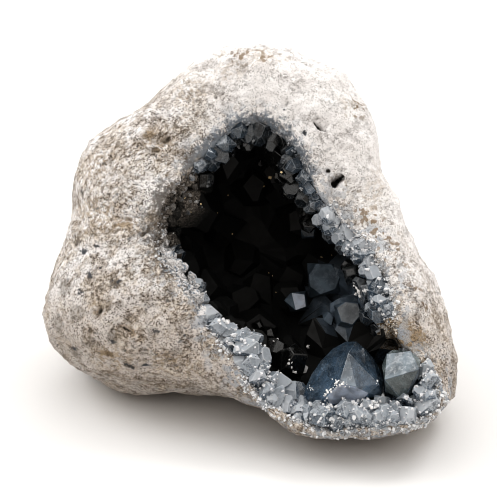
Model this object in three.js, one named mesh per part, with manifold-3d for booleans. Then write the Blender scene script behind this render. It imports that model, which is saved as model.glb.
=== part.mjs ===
// A celestite geode: a hollow nodule of pale, sandy rock, rounded outside, whose mouth shows a
// cavity lined with one crust of blue celestite crystals.
//
// The geode is laid out as seen straight into its mouth: x across, y up the face and z out of
// the mouth towards the viewer. It is then leaned back, cut flat where it rests, and stood on
// z = 0. All lengths are millimetres.
import * as THREE from 'three';
import { ConvexGeometry } from 'three/addons/geometries/ConvexGeometry.js';
import { MeshSurfaceSampler } from 'three/addons/math/MeshSurfaceSampler.js';
import { ImprovedNoise } from 'three/addons/math/ImprovedNoise.js';
import { mergeVertices } from 'three/addons/utils/BufferGeometryUtils.js';
import Module from 'manifold-3d';

// How the geode sits.
const LEAN = 25; // degrees that its mouth looks up from the level
const SEAT = 64.5; // from the layout's origin down to the flat that it rests on

// The widest line round the body, seen from the front: x, y and the depth z of the line.
const WAIST = [
  [-4, 77, -22], [17, 75, -20], [32, 66.5, -18], [42.5, 51.5, -17], [47, 35.5, -16],
  [50, 23.5, -15], [55, 8, -12], [63, -8, -9], [69, -23, -5], [73, -37, -1], [74, -45, 2],
  [70, -55, 5], [59.5, -63.5, 8], [47.5, -68, 10], [33, -69.5, 10], [19, -68, 7], [10.5, -63, 0],
  [-3.5, -56, -15], [-17, -54, -28], [-34.5, -53.5, -34], [-51.5, -52.5, -36],
  [-65, -47.5, -35], [-75, -38, -33], [-78.5, -24.5, -31], [-77, -12, -29], [-71.5, 5.5, -27],
  [-68, 17, -27], [-67.5, 30.5, -27], [-60.5, 41.5, -26], [-43.5, 55.5, -26], [-33, 63, -26],
  [-16, 74.5, -24],
];

// The edge of the mouth, where the rock ends and the crystals begin.
const MOUTH = [
  [-4.5, 46.5, -3], [-16, 37.5, -1], [-26.5, 24.5, 1], [-33.5, 13, 3], [-35, 0.5, 6],
  [-27.5, -11, 9], [-20, -22.5, 12], [-13.5, -32, 15], [-5.5, -40.5, 17], [-0.5, -50, 19],
  [9.5, -58, 22], [22.5, -63, 25], [35, -63.5, 27], [48.5, -63, 28], [61, -59, 27],
  [67, -52, 24.5], [63, -45, 22.5], [55, -37, 20.5], [50, -30, 19], [49.5, -22, 16.5],
  [47.5, -13, 13], [42, -0.5, 9], [31, 11.5, 6], [21, 23.5, 3], [13, 37, 0], [5, 44.5, -2],
];

const BACK_DEPTH = -82; // the back of the body
const BACK_RADIUS = 66; // that its outline evens out to there
const FULLNESS = 0.86; // below 1, the body's curves are fuller than an ellipse's
const LIP = 3.5; // radius of the worn edge of the mouth
const LIP_SHARE = 0.6; // the most of the front's width that the lip may take

// The cavity.
const HOLLOW_DEPTH = -66; // its bottom
const HOLLOW_FULLNESS = 0.8; // below 1, it stays wide further in
const UNDERCUT = 9; // how far it widens behind the left side of its mouth
const HOLLOW_HEART = new THREE.Vector3(0, 0, -20); // the point that its crystals face

// The swelling of the cavity's floor that lifts the large crystals up to the mouth.
const SHELF = { x: 40, y: -50, height: 60, reach: 33 };

// Swellings and hollows of the outside: x, y, z, height and reach.
const LUMPS = [
  [-55, -22, 5, 2.5, 22], // the big lobe at the lower left
  [-56, 26, -8, 1.5, 14], // the shoulder above it
  [-66, 8, -12, -3, 13], // the waist between the two
  [-38, 52, -14, -3, 11], // the notch below the dome
  [-28, 36, 0, -2, 12], // the hollow that runs on from the notch
  [18, 52, 0, 3, 20], // the dome over the mouth
  [62, -10, -8, 4.5, 22], // the swelling down the right of the mouth
  [74, -44, 0, 2, 14], // and at the toe
  [-42, -45, 5, -2.5, 14], // the hollow under the lobe
  [-40, -10, -85, 7, 34], // lobes of the back
  [32, 22, -85, 6, 30],
  [8, 50, -75, -6, 22],
  [38, -35, -60, -4, 24],
];
const CORE = { depth: -25, flattening: 0.8 }; // the point that they push away from

// The unevenness everywhere.
const BROAD_SWELL = { size: 26, height: 1.8 };
const FINE_SWELL = { size: 9, height: 1.6 };
const NOISE_START = new THREE.Vector3(3.1, 7.7, 1.3);
const NOISE_REACH = 0.5; // how far the noise goes either way

// Small open pores in the rock: x, y, half width, half height, depth and turn in degrees.
const PORES = [
  [30, 25.5, 2, 2.5, 7, -15],
  [24.5, 46, 3.2, 1.3, 4, -35],
  [-34, 40, 2.8, 2, 2.5, 20],
  [-50, -31, 3, 1.6, 2.2, 10],
  [-58, -4, 3, 1.8, 2.2, 40],
];
const PORE_FACETS = [7, 5];

// The crust of crystals.
const JOINT_GAP = 0.35; // between the rock and the back of the crust
const CRUST = 3.6; // thickness of the crust between its crystals
const CRUST_EDGE = { share: 0.4, growth: 2 }; // how its thickness starts at the lip and grows
const CRUST_SETBACK = 0.5; // of the crust's edge behind the lip
const CRUST_BACKING = 2; // how far its bed starts inside the rock, before the rock is cut off

// Celestite's cell edges, which set the angles between a crystal's faces.
const CELL = new THREE.Vector3(8.36, 5.35, 6.87);
const PRISM_SHARE = 0.84; // of a crystal's half width, out to the four faces of its prism
const UNEVEN = [0.86, 1.06]; // how unevenly its faces have grown

// The crystals that show best: centre x and y, width, length, the way they point, and spin.
const LARGE_CRYSTALS = [
  { name: 'great crystal', at: [33, -49], width: 29, length: 22, points: [0.03, 0.4, 0.9], spin: 8 },
  { name: 'block beside it', at: [56, -50], width: 16, length: 14, points: [-0.25, 0.3, 0.9], spin: 40 },
  { name: 'grey crystal', at: [37, -25], width: 16, length: 16, points: [-0.3, 0.15, 0.9], spin: 62 },
  { name: 'crystal above it', at: [27, -8], width: 16, length: 14, points: [-0.5, -0.2, 0.8], spin: 20 },
  { name: 'bright crystal', at: [16, -21], width: 12, length: 18, points: [-0.3, 0.35, 0.85], spin: 75 },
  { name: 'round crystal', at: [12, -39], width: 9, length: 10, points: [0.2, 0.5, 0.8], spin: 15 },
  { name: 'front block left', at: [21, -58], width: 12, length: 9, points: [0.15, 0.75, 0.6], spin: 30 },
  { name: 'front block right', at: [37, -61], width: 10, length: 8, points: [-0.1, 0.7, 0.7], spin: 55 },
  { name: 'low left blocks', at: [8, -50], width: 10, length: 10, points: [0.4, 0.6, 0.65], spin: 10 },
  { name: 'lip cluster', at: [1, -40], width: 10, length: 10, points: [0.5, 0.5, 0.7], spin: 48 },
  { name: 'lip cluster top', at: [-8, -32], width: 8, length: 9, points: [0.5, 0.6, 0.6], spin: 5 },
  { name: 'left block', at: [-31, 3], width: 8, length: 9, points: [0.8, -0.2, 0.5], spin: 33 },
  { name: 'top left crystal', at: [-9, 33], width: 11, length: 9, points: [0.5, -0.6, 0.6], spin: 12 },
  { name: 'top right crystal', at: [9, 32], width: 9, length: 9, points: [-0.4, -0.7, 0.6], spin: 70 },
  { name: 'right brow crystal', at: [22, 16], width: 10, length: 9, points: [-0.7, -0.4, 0.6], spin: 25 },
  { name: 'right wall crystal', at: [41, -8], width: 9, length: 8, points: [-0.7, -0.3, 0.7], spin: 50 },
  { name: 'frosted crystal', at: [44, -21], width: 12, length: 8, points: [-0.5, 0.2, 0.85], spin: 24 },
];
const LARGE_ROOT = 0.5; // of a crystal's width, how deep it starts in the crust

// The crystals between them, sown over the crust. Lengths and roots are shares of the width.
const SOWN = {
  tries: 320,
  seed: 11,
  spacing: 0.8, // of the mean width of two neighbours
  rimWidth: [5, 8],
  deepWidth: [12, 18],
  length: [0.55, 0.95],
  root: 0.3,
  outward: 1.6, // how much more they point off the crust than any other way
};
const RIM_BAND = 10; // depth of the band of small crystals inside the mouth

// How finely each surface is faceted.
const COLUMNS = 54; // round the body
const BACK_ROWS = 14;
const FRONT_ROWS = 7;
const LIP_ROWS = 3;
const HOLLOW_ROWS = 7;
const CRUST_COLUMNS = 36;
const TOE = { angle: -0.9, crowding: 0.3 }; // the columns stand closer on this side
const RING_SAMPLES = 720;

const GROUND_SIZE = 400; // of the block below the cut that the geode stands on
const ABOVE = 200; // a height over the whole face of the mouth
const TINY = 1e-6;

const leanBack = THREE.MathUtils.degToRad(90 - LEAN);

const wasm = await Module();
wasm.setup();

// A closed curve through stations round the z axis, read by its angle in radians.
function ring(stations) {
  const curve = new THREE.CatmullRomCurve3(
    stations.map((p) => new THREE.Vector3(...p)),
    true,
    'centripetal',
  );
  const samples = curve
    .getPoints(RING_SAMPLES)
    .map((p) => ({ angle: Math.atan2(p.y, p.x), radius: Math.hypot(p.x, p.y), depth: p.z }))
    .sort((a, b) => a.angle - b.angle);
  return (angle) => {
    const wanted = Math.atan2(Math.sin(angle), Math.cos(angle));
    let after = samples.findIndex((s) => s.angle > wanted);
    if (after < 0) after = 0;
    const a = samples[(after + samples.length - 1) % samples.length];
    const b = samples[after];
    const turn = (x) => (x + 4 * Math.PI) % (2 * Math.PI);
    const share = turn(wanted - a.angle) / (turn(b.angle - a.angle) || 1);
    return {
      radius: THREE.MathUtils.lerp(a.radius, b.radius, share),
      depth: THREE.MathUtils.lerp(a.depth, b.depth, share),
    };
  };
}
const waist = ring(WAIST);
const mouth = ring(MOUTH);

const quarter = Math.PI / 2;
const rounded = (x) => Math.max(0, x) ** FULLNESS;

// A point on the wall of the cavity, from the lip (share 0) to its bottom (share 1).
function hollowPoint(angle, share, inset) {
  const edge = mouth(angle);
  const side = Math.max(0, -Math.cos(angle)) * UNDERCUT;
  const top = edge.depth - LIP;
  const reach = (edge.radius - inset) * Math.cos(share * quarter) ** HOLLOW_FULLNESS;
  const radius = reach + side * Math.sin(share * Math.PI);
  const x = radius * Math.cos(angle);
  const y = radius * Math.sin(angle);
  const away = Math.hypot(x - SHELF.x, y - SHELF.y) / SHELF.reach;
  const drop = top - HOLLOW_DEPTH - inset - SHELF.height * Math.exp(-(away ** 2));
  return new THREE.Vector3(x, y, top - drop * rounded(Math.sin(share * quarter)));
}

// A point on the outside, the lip or the wall of the cavity, by its row from the back.
function rockPoint(angle, row, inset) {
  const body = waist(angle);
  const edge = mouth(angle);
  const lip = Math.min(LIP, LIP_SHARE * (body.radius - edge.radius));
  const crest = edge.radius + lip;
  let radius;
  let depth;
  if (row <= BACK_ROWS) {
    const share = (row / BACK_ROWS) * quarter;
    radius = THREE.MathUtils.lerp(BACK_RADIUS, body.radius, Math.sin(share));
    radius *= rounded(Math.sin(share));
    depth = body.depth + (BACK_DEPTH - body.depth) * rounded(Math.cos(share));
  } else if (row <= BACK_ROWS + FRONT_ROWS) {
    const share = ((row - BACK_ROWS) / FRONT_ROWS) * quarter;
    radius = crest + (body.radius - crest) * rounded(Math.cos(share));
    depth = body.depth + (edge.depth - body.depth) * rounded(Math.sin(share));
  } else if (row < BACK_ROWS + FRONT_ROWS + LIP_ROWS) {
    const share = ((row - BACK_ROWS - FRONT_ROWS) / LIP_ROWS) * quarter;
    radius = crest - (lip + inset) * Math.sin(share);
    depth = edge.depth - LIP + (LIP + inset) * Math.cos(share);
  } else {
    const share = (row - BACK_ROWS - FRONT_ROWS - LIP_ROWS) / HOLLOW_ROWS;
    return hollowPoint(angle, share, inset);
  }
  return new THREE.Vector3(radius * Math.cos(angle), radius * Math.sin(angle), depth);
}

const noise = new ImprovedNoise();
function swell(p, { size, height }) {
  const at = p.clone().divideScalar(size).add(NOISE_START);
  return (height * noise.noise(at.x, at.y, at.z)) / NOISE_REACH;
}

// How far the lumps and the unevenness push a point of the rock outwards.
function rise(p) {
  let sum = swell(p, BROAD_SWELL) + swell(p, FINE_SWELL);
  for (const [x, y, z, height, reach] of LUMPS) {
    sum += height * Math.exp(-p.distanceToSquared(new THREE.Vector3(x, y, z)) / reach ** 2);
  }
  return sum;
}

// A sphere whose vertices are moved to the points that place(angle, row) gives. Each row is
// turned half a column on from the last, so that its facets come out nearly even-sided.
function reshapedSphere(columns, rows, place) {
  const sphere = new THREE.SphereGeometry(1, columns, rows);
  const position = sphere.getAttribute('position');
  for (let i = 0; i < position.count; i++) {
    const row = rows - Math.floor(i / (columns + 1));
    const column = (i % (columns + 1)) % columns;
    const turn = ((column + row / 2) / columns) * 2 * Math.PI;
    position.setXYZ(i, ...place(turn - TOE.crowding * Math.sin(turn - TOE.angle), row));
  }
  return sphere;
}

// The rock as one closed surface, made thicker all over by the inset. The lumps of the outside
// die away over the lip into the cavity.
function rockGeometry(inset) {
  const outside = BACK_ROWS + FRONT_ROWS;
  const rows = outside + LIP_ROWS + HOLLOW_ROWS;
  return reshapedSphere(COLUMNS, rows, (angle, row) => {
    const bare = rockPoint(angle, row, 0);
    const out = bare.clone().setZ((bare.z - CORE.depth) / CORE.flattening).normalize();
    const share = THREE.MathUtils.clamp((rows - row) / (LIP_ROWS + HOLLOW_ROWS), 0, 1) ** 2;
    const p = rockPoint(angle, row, inset).addScaledVector(out, rise(bare) * share);
    return row <= outside ? p.addScaledVector(out, inset) : p;
  });
}

// The crust's bed: it starts inside the rock behind the wall, turns at the lip and comes
// back along its free face.
function crustGeometry() {
  const rows = HOLLOW_ROWS * 2 + 1;
  return reshapedSphere(CRUST_COLUMNS, rows, (angle, row) => {
    const outer = row <= HOLLOW_ROWS;
    const share = (outer ? HOLLOW_ROWS - row : row - HOLLOW_ROWS - 1) / HOLLOW_ROWS;
    const thickness = CRUST * Math.min(1, CRUST_EDGE.share + CRUST_EDGE.growth * share);
    const p = hollowPoint(angle, share, outer ? -CRUST_BACKING : thickness);
    p.z -= CRUST_SETBACK * (1 - share);
    if (!outer) p.z += swell(p, FINE_SWELL);
    return p;
  });
}

// The corners of the convex body that the planes bound: where three meet inside the rest.
function cornersOf(planes) {
  const found = [];
  const cross = (a, b) => new THREE.Vector3().crossVectors(a.normal, b.normal);
  for (let i = 0; i < planes.length; i++) {
    for (let j = i + 1; j < planes.length; j++) {
      for (let k = j + 1; k < planes.length; k++) {
        const [a, b, c] = [planes[i], planes[j], planes[k]];
        const spread = a.normal.dot(cross(b, c));
        if (Math.abs(spread) < TINY) continue;
        const p = cross(b, c)
          .multiplyScalar(a.reach)
          .addScaledVector(cross(c, a), b.reach)
          .addScaledVector(cross(a, b), c.reach)
          .divideScalar(spread);
        if (planes.every((q) => q.normal.dot(p) < q.reach + TINY)) found.push(p);
      }
    }
  }
  return found;
}

const random = (() => {
  let state = SOWN.seed;
  return () => {
    state = (state * 1664525 + 1013904223) % 4294967296;
    return state / 4294967296;
  };
})();
const between = (low, high) => low + (high - low) * random();

// The direction of the crystal face with these Miller indices.
const faceNormal = (h, k, l) => new THREE.Vector3(h, k, l).divide(CELL).normalize();

// A crystal that grows along x from the origin: four prism faces {011}, two flats {001} on a
// blocky one, and a tip of the faces {101} and {210}. Its root reaches back behind the origin.
function crystalGeometry({ width, length, root, blocky }) {
  const half = width / 2;
  const uneven = () => between(...UNEVEN);
  const planes = [{ normal: new THREE.Vector3(-1, 0, 0), reach: root }];
  for (const s of [1, -1]) {
    planes.push({ normal: faceNormal(0, 1, s), reach: PRISM_SHARE * half * uneven() });
    planes.push({ normal: faceNormal(0, -1, s), reach: PRISM_SHARE * half * uneven() });
    if (blocky) planes.push({ normal: faceNormal(0, 0, s), reach: half * uneven() });
    const dome = faceNormal(1, 0, s);
    planes.push({ normal: dome, reach: dome.x * length * uneven() });
    const tip = faceNormal(2, s, 0);
    planes.push({ normal: tip, reach: tip.x * length * uneven() });
  }
  return new ConvexGeometry(cornersOf(planes));
}

// Stands a crystal on a point of the crust, pointing along growth and turned about it.
function plant(geometry, point, growth, spin) {
  const x = growth.clone().normalize();
  const y = new THREE.Vector3(0, 1, 0).addScaledVector(x, -x.y).normalize();
  const z = new THREE.Vector3().crossVectors(x, y);
  const turned = new THREE.Matrix4().makeBasis(x, y, z);
  turned.multiply(new THREE.Matrix4().makeRotationX(THREE.MathUtils.degToRad(spin)));
  return geometry.applyMatrix4(turned.setPosition(point));
}

const down = new THREE.Vector3(0, 0, -1);
function firstHit(mesh, x, y) {
  return new THREE.Raycaster(new THREE.Vector3(x, y, ABOVE), down).intersectObject(mesh)[0].point;
}

// Every crystal of the crust: those placed one by one, then the sown ones between them.
function crystals(bedMesh) {
  const grown = [];
  for (const { at, width, length, points, spin } of LARGE_CRYSTALS) {
    const point = firstHit(bedMesh, ...at);
    const shape = crystalGeometry({ width, length, root: LARGE_ROOT * width, blocky: true });
    grown.push({ point, width, geometry: plant(shape, point, new THREE.Vector3(...points), spin) });
  }
  const flat = bedMesh.geometry.toNonIndexed();
  flat.computeVertexNormals();
  const sampler = new MeshSurfaceSampler(new THREE.Mesh(flat)).setRandomGenerator(random).build();
  const point = new THREE.Vector3();
  const normal = new THREE.Vector3();
  for (let i = 0; i < SOWN.tries; i++) {
    sampler.sample(point, normal);
    if (normal.dot(HOLLOW_HEART.clone().sub(point)) < 0) continue;
    const edge = mouth(Math.atan2(point.y, point.x));
    const nearRim = edge.depth - LIP - CRUST_SETBACK - point.z < RIM_BAND;
    const width = between(...(nearRim ? SOWN.rimWidth : SOWN.deepWidth));
    const crowded = grown.some(
      (g) => g.point.distanceTo(point) < SOWN.spacing * (g.width + width) * 0.5,
    );
    if (crowded) continue;
    const length = width * between(...SOWN.length);
    const shape = crystalGeometry({ width, length, root: SOWN.root * width, blocky: false });
    const growth = new THREE.Vector3(between(-1, 1), between(-1, 1), between(-1, 1));
    growth.addScaledVector(normal, SOWN.outward);
    const foot = point.clone();
    grown.push({ point: foot, width, geometry: plant(shape, foot, growth, between(0, 180)) });
  }
  return grown.map((g) => g.geometry);
}

// A closed geometry as a solid, and a solid as a geometry.
function solid(geometry) {
  const bare = geometry.clone();
  bare.deleteAttribute('normal');
  bare.deleteAttribute('uv');
  const merged = mergeVertices(bare, 1e-4);
  return new wasm.Manifold(
    new wasm.Mesh({
      numProp: 3,
      vertProperties: new Float32Array(merged.getAttribute('position').array),
      triVerts: new Uint32Array(merged.index.array),
    }),
  );
}

function geometryOf(body) {
  const { vertProperties, triVerts } = body.getMesh();
  return new THREE.BufferGeometry()
    .setAttribute('position', new THREE.BufferAttribute(new Float32Array(vertProperties), 3))
    .setIndex(new THREE.BufferAttribute(new Uint32Array(triVerts), 1));
}

// A body without loose chips or the closed gaps that crystals leave between them.
function largestOf(body) {
  return body.decompose().reduce((a, b) => (a.volume() > b.volume() ? a : b));
}

// The rock: the nodule with its small pores, cut flat on its seat.
function matrixShell() {
  const geometry = rockGeometry(0);
  const front = new THREE.Mesh(geometry);
  let body = solid(geometry);
  for (const [x, y, wide, high, deep, turn] of PORES) {
    const pore = new THREE.SphereGeometry(1, ...PORE_FACETS).scale(wide, high, deep);
    pore.rotateZ(THREE.MathUtils.degToRad(turn));
    body = body.subtract(solid(pore.translate(...firstHit(front, x, y))));
  }
  const ground = new THREE.BoxGeometry(GROUND_SIZE, GROUND_SIZE, GROUND_SIZE);
  ground.translate(0, 0, -GROUND_SIZE / 2 - SEAT).rotateX(-leanBack);
  return body.subtract(solid(ground));
}

// The crust: its bed and every crystal as one body, kept clear of the rock.
function crystalCrust() {
  const bedMesh = new THREE.Mesh(crustGeometry());
  let body = solid(bedMesh.geometry);
  for (const geometry of crystals(bedMesh)) body = body.add(solid(geometry));
  return largestOf(body.subtract(solid(rockGeometry(JOINT_GAP))));
}

function node(name, body, material) {
  const mesh = new THREE.Mesh(geometryOf(body), material);
  mesh.name = name;
  return mesh;
}

const limestone = new THREE.MeshStandardMaterial({ color: 0xcfc8bc, roughness: 0.9 });
const celestite = new THREE.MeshStandardMaterial({ color: 0x9fb2c4, roughness: 0.12 });

const leaning = new THREE.Group();
leaning.add(node('matrix_shell', matrixShell(), limestone));
leaning.add(node('crystal_crust', crystalCrust(), celestite));
leaning.rotation.x = leanBack;

// The origin is under the middle of the geode, on the surface that it rests on.
const geode = new THREE.Group().add(leaning);
const reach = new THREE.Box3().setFromObject(geode, true);
const middle = reach.getCenter(new THREE.Vector3());
leaning.position.set(-middle.x, -middle.y, -reach.min.z);

export default geode;
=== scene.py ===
import math

import bpy
import numpy as np
from mathutils import Matrix, Vector
from mathutils.bvhtree import BVHTree


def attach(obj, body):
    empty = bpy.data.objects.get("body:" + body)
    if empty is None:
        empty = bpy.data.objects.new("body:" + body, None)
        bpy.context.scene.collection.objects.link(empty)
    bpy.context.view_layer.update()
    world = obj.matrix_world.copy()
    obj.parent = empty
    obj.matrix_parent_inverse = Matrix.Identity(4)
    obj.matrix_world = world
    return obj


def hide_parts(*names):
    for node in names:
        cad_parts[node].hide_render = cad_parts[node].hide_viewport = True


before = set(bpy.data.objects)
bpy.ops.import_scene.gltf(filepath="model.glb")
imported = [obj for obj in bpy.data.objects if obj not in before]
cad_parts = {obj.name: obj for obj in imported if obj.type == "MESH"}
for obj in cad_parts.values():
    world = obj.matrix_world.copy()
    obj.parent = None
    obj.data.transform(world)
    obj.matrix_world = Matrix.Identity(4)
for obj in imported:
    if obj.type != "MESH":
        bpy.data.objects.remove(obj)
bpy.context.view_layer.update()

# The rock
# A nodule of pale, sandy rock that grew around a hollow. Its outside is weathered to coarse
# grains with pits and open pores, and painted shade darkens it brown and grey where it lies
# deep. It starts as the imported solid and gets its fine surface here.
MM = 0.001
HEART = Vector((2.44, -17.61, 64.5)) * MM  # the middle of the mouth, where the layout starts
LEAN_BACK = math.radians(65)  # from the layout, seen straight into the mouth, to the frame

ROCK_GRAIN = 0.9 * MM  # edge of a face of the rock's surface
KEPT_FACES = 0.74  # share of the faces kept, fewest where the crystals or the ground hide them
SKIN = (0.8 * MM, 3.0 * MM)  # how the weathering starts, away from the crystals
GROUND = (0.3 * MM, 2.5 * MM)  # and away from the surface that the rock rests on
SOFTENED = 12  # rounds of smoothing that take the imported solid's facets away
EVENED = 14  # rounds that even the surface out, to tell its hollows from its bumps
DEEPEST_RELIEF = 1.5  # mm
RIM_STEPS = 60  # places round the mouth where the height of its edge is taken
FRONT = -45  # mm, the marks and pores are on the rock's front, before this depth

# Weathering: a pattern's kind, its size, how far it moves the surface and its middle level.
WEATHERING = [
    ("CLOUDS", 11.0, 1.5, 0.5),
    ("CLOUDS", 4.5, 1.2, 0.5),
    ("VORONOI", 2.6, -0.6, 0.35),
    ("VORONOI", 1.6, -0.4, 0.35),
]

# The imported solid's pores, which are filled to the plane of their edge before finer ones are
# sunk: x, y, half width, half height and turn in degrees, seen straight into the mouth.
FILLED = [
    (-34, 40, 2.8, 2, 20), (-50, -31, 3, 1.6, 10), (-58, -4, 3, 1.8, 40), (24.5, 46, 3.2, 1.3, -35),
    (30, 25.4, 2.6, 2.8, -15),
]
PORE_EDGE = (2.4, 9.0)  # where the edge of a pore lies, on the scale of oval()
FILL_EDGE = (3.2, 1.6)  # how the filling starts, on the same scale
PORE_FRONT = 14  # mm from the foremost place of the edge back to the last that is filled
FILL_BELOW = 0.3  # mm from the plane of the edge down to the filling

# Pores and pits that show one by one: x, y, half width, half height, depth in mm, turn.
PORES = [
    (30.3, 25.6, 1.8, 1.2, 6, 35), (29.2, 24.4, 0.9, 1.5, 5, -10), (26.6, 28.6, 0.9, 0.8, 1.6, 0),
    (31.5, 28.9, 0.8, 0.6, 1.4, 0), (24.2, 46.2, 2.9, 1.7, 1.2, -35),
    (23.6, 44.9, 2.6, 0.5, 4.5, -35), (24, 59.8, 0.9, 0.8, 1.2, 0), (-12.2, 57.3, 1, 0.6, 1, 20),
    (-14.4, 56.2, 0.6, 0.9, 1, 0), (11.6, 53.6, 1, 1.8, 1, -30), (3, 52.6, 0.9, 1.7, 0.9, 30),
    (5.6, 50, 1.7, 0.7, 0.9, 0), (14, 48, 0.9, 1.5, 0.9, -25), (18, 42.8, 0.9, 1, 1.2, 0),
    (-33, 40.5, 2.6, 1.6, 1.6, 20), (-36.5, 36.6, 2.2, 1.2, 1.4, 0),
    (-48, 11.5, 3.6, 1.2, 1.2, -10), (-40.5, 6, 2.4, 0.7, 1.2, 45), (-57, -22.6, 1.1, 2, 1.4, -20),
    (-47, -29, 3, 0.7, 1.4, -25), (-60.5, -29.5, 0.8, 1.4, 1, 20),
]

# Marks in the rock: x, y, half width, half height, turn.
MARKS = {
    "dull": [
        (-50.5, 2.2, 2.9, 1.5, -20), (-45.7, -8.5, 2.1, 1.8, 30), (-65.2, -23.2, 3.2, 3.4, 0),
        (-50.9, -31.7, 3.4, 2.9, 20), (-49, -19.9, 1.5, 1.8, 0), (-45, -25.2, 3.2, 1.9, -10),
        (-60, -34.3, 2.7, 1.8, 10), (-37, -30.2, 2.4, 2.2, 0), (-40.5, -37, 1.9, 1.6, 0),
        (-73, -27.5, 2, 4, 10), (-70.5, -14.5, 2.2, 3.6, 0), (-54, -20.5, 2.6, 1.6, 20),
        (-66, -38.5, 2.6, 2, -20), (-66.5, 5, 1.8, 2.6, 0), (-35.5, 41, 3.4, 2.2, 20),
        (-38, 36, 2.6, 2, 0), (-20, -43.5, 3, 1.6, -20), (-29, -37, 2.6, 1.8, 10),
    ],
    # dark: clusters of dark grains, and painted shade in the pores that some of them lie on
    "dark": [
        (-63.2, -0.8, 1.7, 1.4, 30), (-61, -9.6, 1.1, 1.9, 20), (-51, -12, 2.4, 2, 40),
        (-58.6, 1.1, 1.3, 0.9, 0), (-56.7, -6.7, 0.6, 0.5, 0), (-46, -42.8, 2.4, 0.8, -20),
        (-40.2, -42.2, 1.7, 0.7, 0), (-52, -33.8, 1.6, 0.7, -20), (-66.8, -36.8, 1.5, 1, 0),
        (-33.2, -8.1, 0.9, 0.8, 0), (-60.3, -29.5, 0.8, 1.2, 0), (-66, 2.6, 1.6, 1.6, 0),
        (18.2, 42.6, 0.9, 1, 0), (10.7, 51.2, 0.5, 0.5, 0), (24.2, 60, 0.5, 0.4, 0),
        (-36.2, -29.6, 1.6, 1.2, 0), (-64, -15.5, 1.6, 1.2, 0), (-43.5, 37.5, 0.8, 0.8, 0),
    ],
    "tan": [
        (-49, 8.5, 15, 4, 5), (-58, -21, 3.6, 3.2, -40), (-44, -30.5, 4.6, 1.8, -30),
        (-52, -40, 8, 5, -15), (-30, -41.5, 11, 4, -15), (-36, 40, 6.5, 6, 0), (-9, 66, 8, 4, 30),
        (2, 71.5, 9, 3, 0), (-24, 58.5, 7, 6, 30), (34.5, 54.5, 4, 2.4, -30), (-58, 31, 8, 5, 30),
        (-58, 14, 10, 6, 0), (44, 20, 4, 12, -10),
    ],
    "brown": [
        (54.5, -31.5, 9, 6, -10), (-39, 42.5, 2.6, 1.6, 10), (-36.5, 36.8, 1.8, 1, 0),
        (-55, -38, 4, 1.2, -10), (-48, 9, 4, 1, 5),
    ],
    # shade: painted shade on the rock where it turns into the mouth
    "shade": [
        (-33, 12, 8.5, 18, 0), (-17, 36.5, 13, 5, 40), (1, 46, 13, 6, 0), (15.5, 33, 5, 12, 25),
        (-30, -3, 5, 8, 0), (20, 18, 3, 7, 30), (-26, -8, 11, 3.2, -50),
    ],
    "specks": [
        (45.3, 6.6, 21, 5, -53), (37, 52, 4, 5, 0), (-2, 71, 12, 3.5, 0), (58, -16, 12, 3, -55),
    ],
}


def only(piece):
    """Selects one piece and nothing else."""
    bpy.ops.object.select_all(action="DESELECT")
    piece.select_set(True)
    bpy.context.view_layer.objects.active = piece


def edited(piece, *steps):
    """Takes each of these steps, an operator and its settings, on the whole of a piece's mesh."""
    only(piece)
    bpy.ops.object.mode_set(mode="EDIT")
    for step, settings in steps:
        bpy.ops.mesh.select_all(action="SELECT")
        step(**settings)
    bpy.ops.object.mode_set(mode="OBJECT")


def new_piece(name, mesh):
    piece = bpy.data.objects.new(name, mesh)
    bpy.context.scene.collection.objects.link(piece)
    return piece


def merged_copy(node, name):
    """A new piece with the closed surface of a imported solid."""
    piece = new_piece(name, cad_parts[node].data.copy())
    edited(piece, (bpy.ops.mesh.remove_doubles, {"threshold": 0.001 * MM}))
    return piece


def shaped(piece, kind, **settings):
    """Adds a modifier with these settings and applies it."""
    modifier = piece.modifiers.new(kind, kind)
    for name, value in settings.items():
        setattr(modifier, name, value)
    only(piece)
    bpy.ops.object.modifier_apply(modifier=modifier.name)


def points_of(mesh):
    flat = np.empty(len(mesh.vertices) * 3, np.float32)
    mesh.vertices.foreach_get("co", flat)
    return flat.reshape(-1, 3).astype(float)


def put_points(mesh, points):
    mesh.vertices.foreach_set("co", points.astype(np.float32).ravel())
    mesh.update()


def normals_of(mesh):
    return np.array([v.normal for v in mesh.vertices])


straight_turn = np.array(Matrix.Rotation(LEAN_BACK, 3, "X"))


def seen_straight(points):
    """Points as seen straight into the mouth, in mm: x across, y up, z out towards the viewer."""
    return (points - np.array(HEART)) @ straight_turn / MM


def smooth_step(value, low, high):
    """0 at low to 1 at high, which may be the lower of the two."""
    share = np.clip((value - low) / (high - low), 0.0, 1.0)
    return share * share * (3.0 - 2.0 * share)


def weigh(piece, name, weights):
    """Gives a piece a vertex group of these weights, in steps of a twentieth."""
    group = piece.vertex_groups.new(name=name)
    levels = np.round(weights * 20).astype(int)
    for level in np.unique(levels):
        chosen = np.nonzero(levels == level)[0]
        group.add(chosen.tolist(), level / 20, "REPLACE")


def averaged(mesh, values, rounds):
    """Values of a mesh's vertices, each averaged with its neighbours that many times."""
    edges = np.empty(len(mesh.edges) * 2, np.int32)
    mesh.edges.foreach_get("vertices", edges)
    a, b = edges.reshape(-1, 2).T
    count = np.bincount(np.r_[a, b], minlength=len(values))[:, None]
    for _ in range(rounds):
        total = np.zeros_like(values)
        for axis, column in enumerate(values.T):
            total[:, axis] = np.bincount(a, column[b], len(values))
            total[:, axis] += np.bincount(b, column[a], len(values))
        values = total / count
    return values


def oval(straight, x, y, half_width, half_height, turn):
    """0 in the middle of an oval that lies in the mouth's plane, 1 on its edge, more outside."""
    c, s = math.cos(math.radians(turn)), math.sin(math.radians(turn))
    dx, dy = straight[:, 0] - x, straight[:, 1] - y
    return ((dx * c + dy * s) / half_width) ** 2 + ((dy * c - dx * s) / half_height) ** 2


def remember(mesh, name, values):
    """Stores one number for each vertex, for a material to read."""
    attribute = mesh.attributes.new(name, "FLOAT", "POINT")
    attribute.data.foreach_set("value", values.astype(np.float32))


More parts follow.
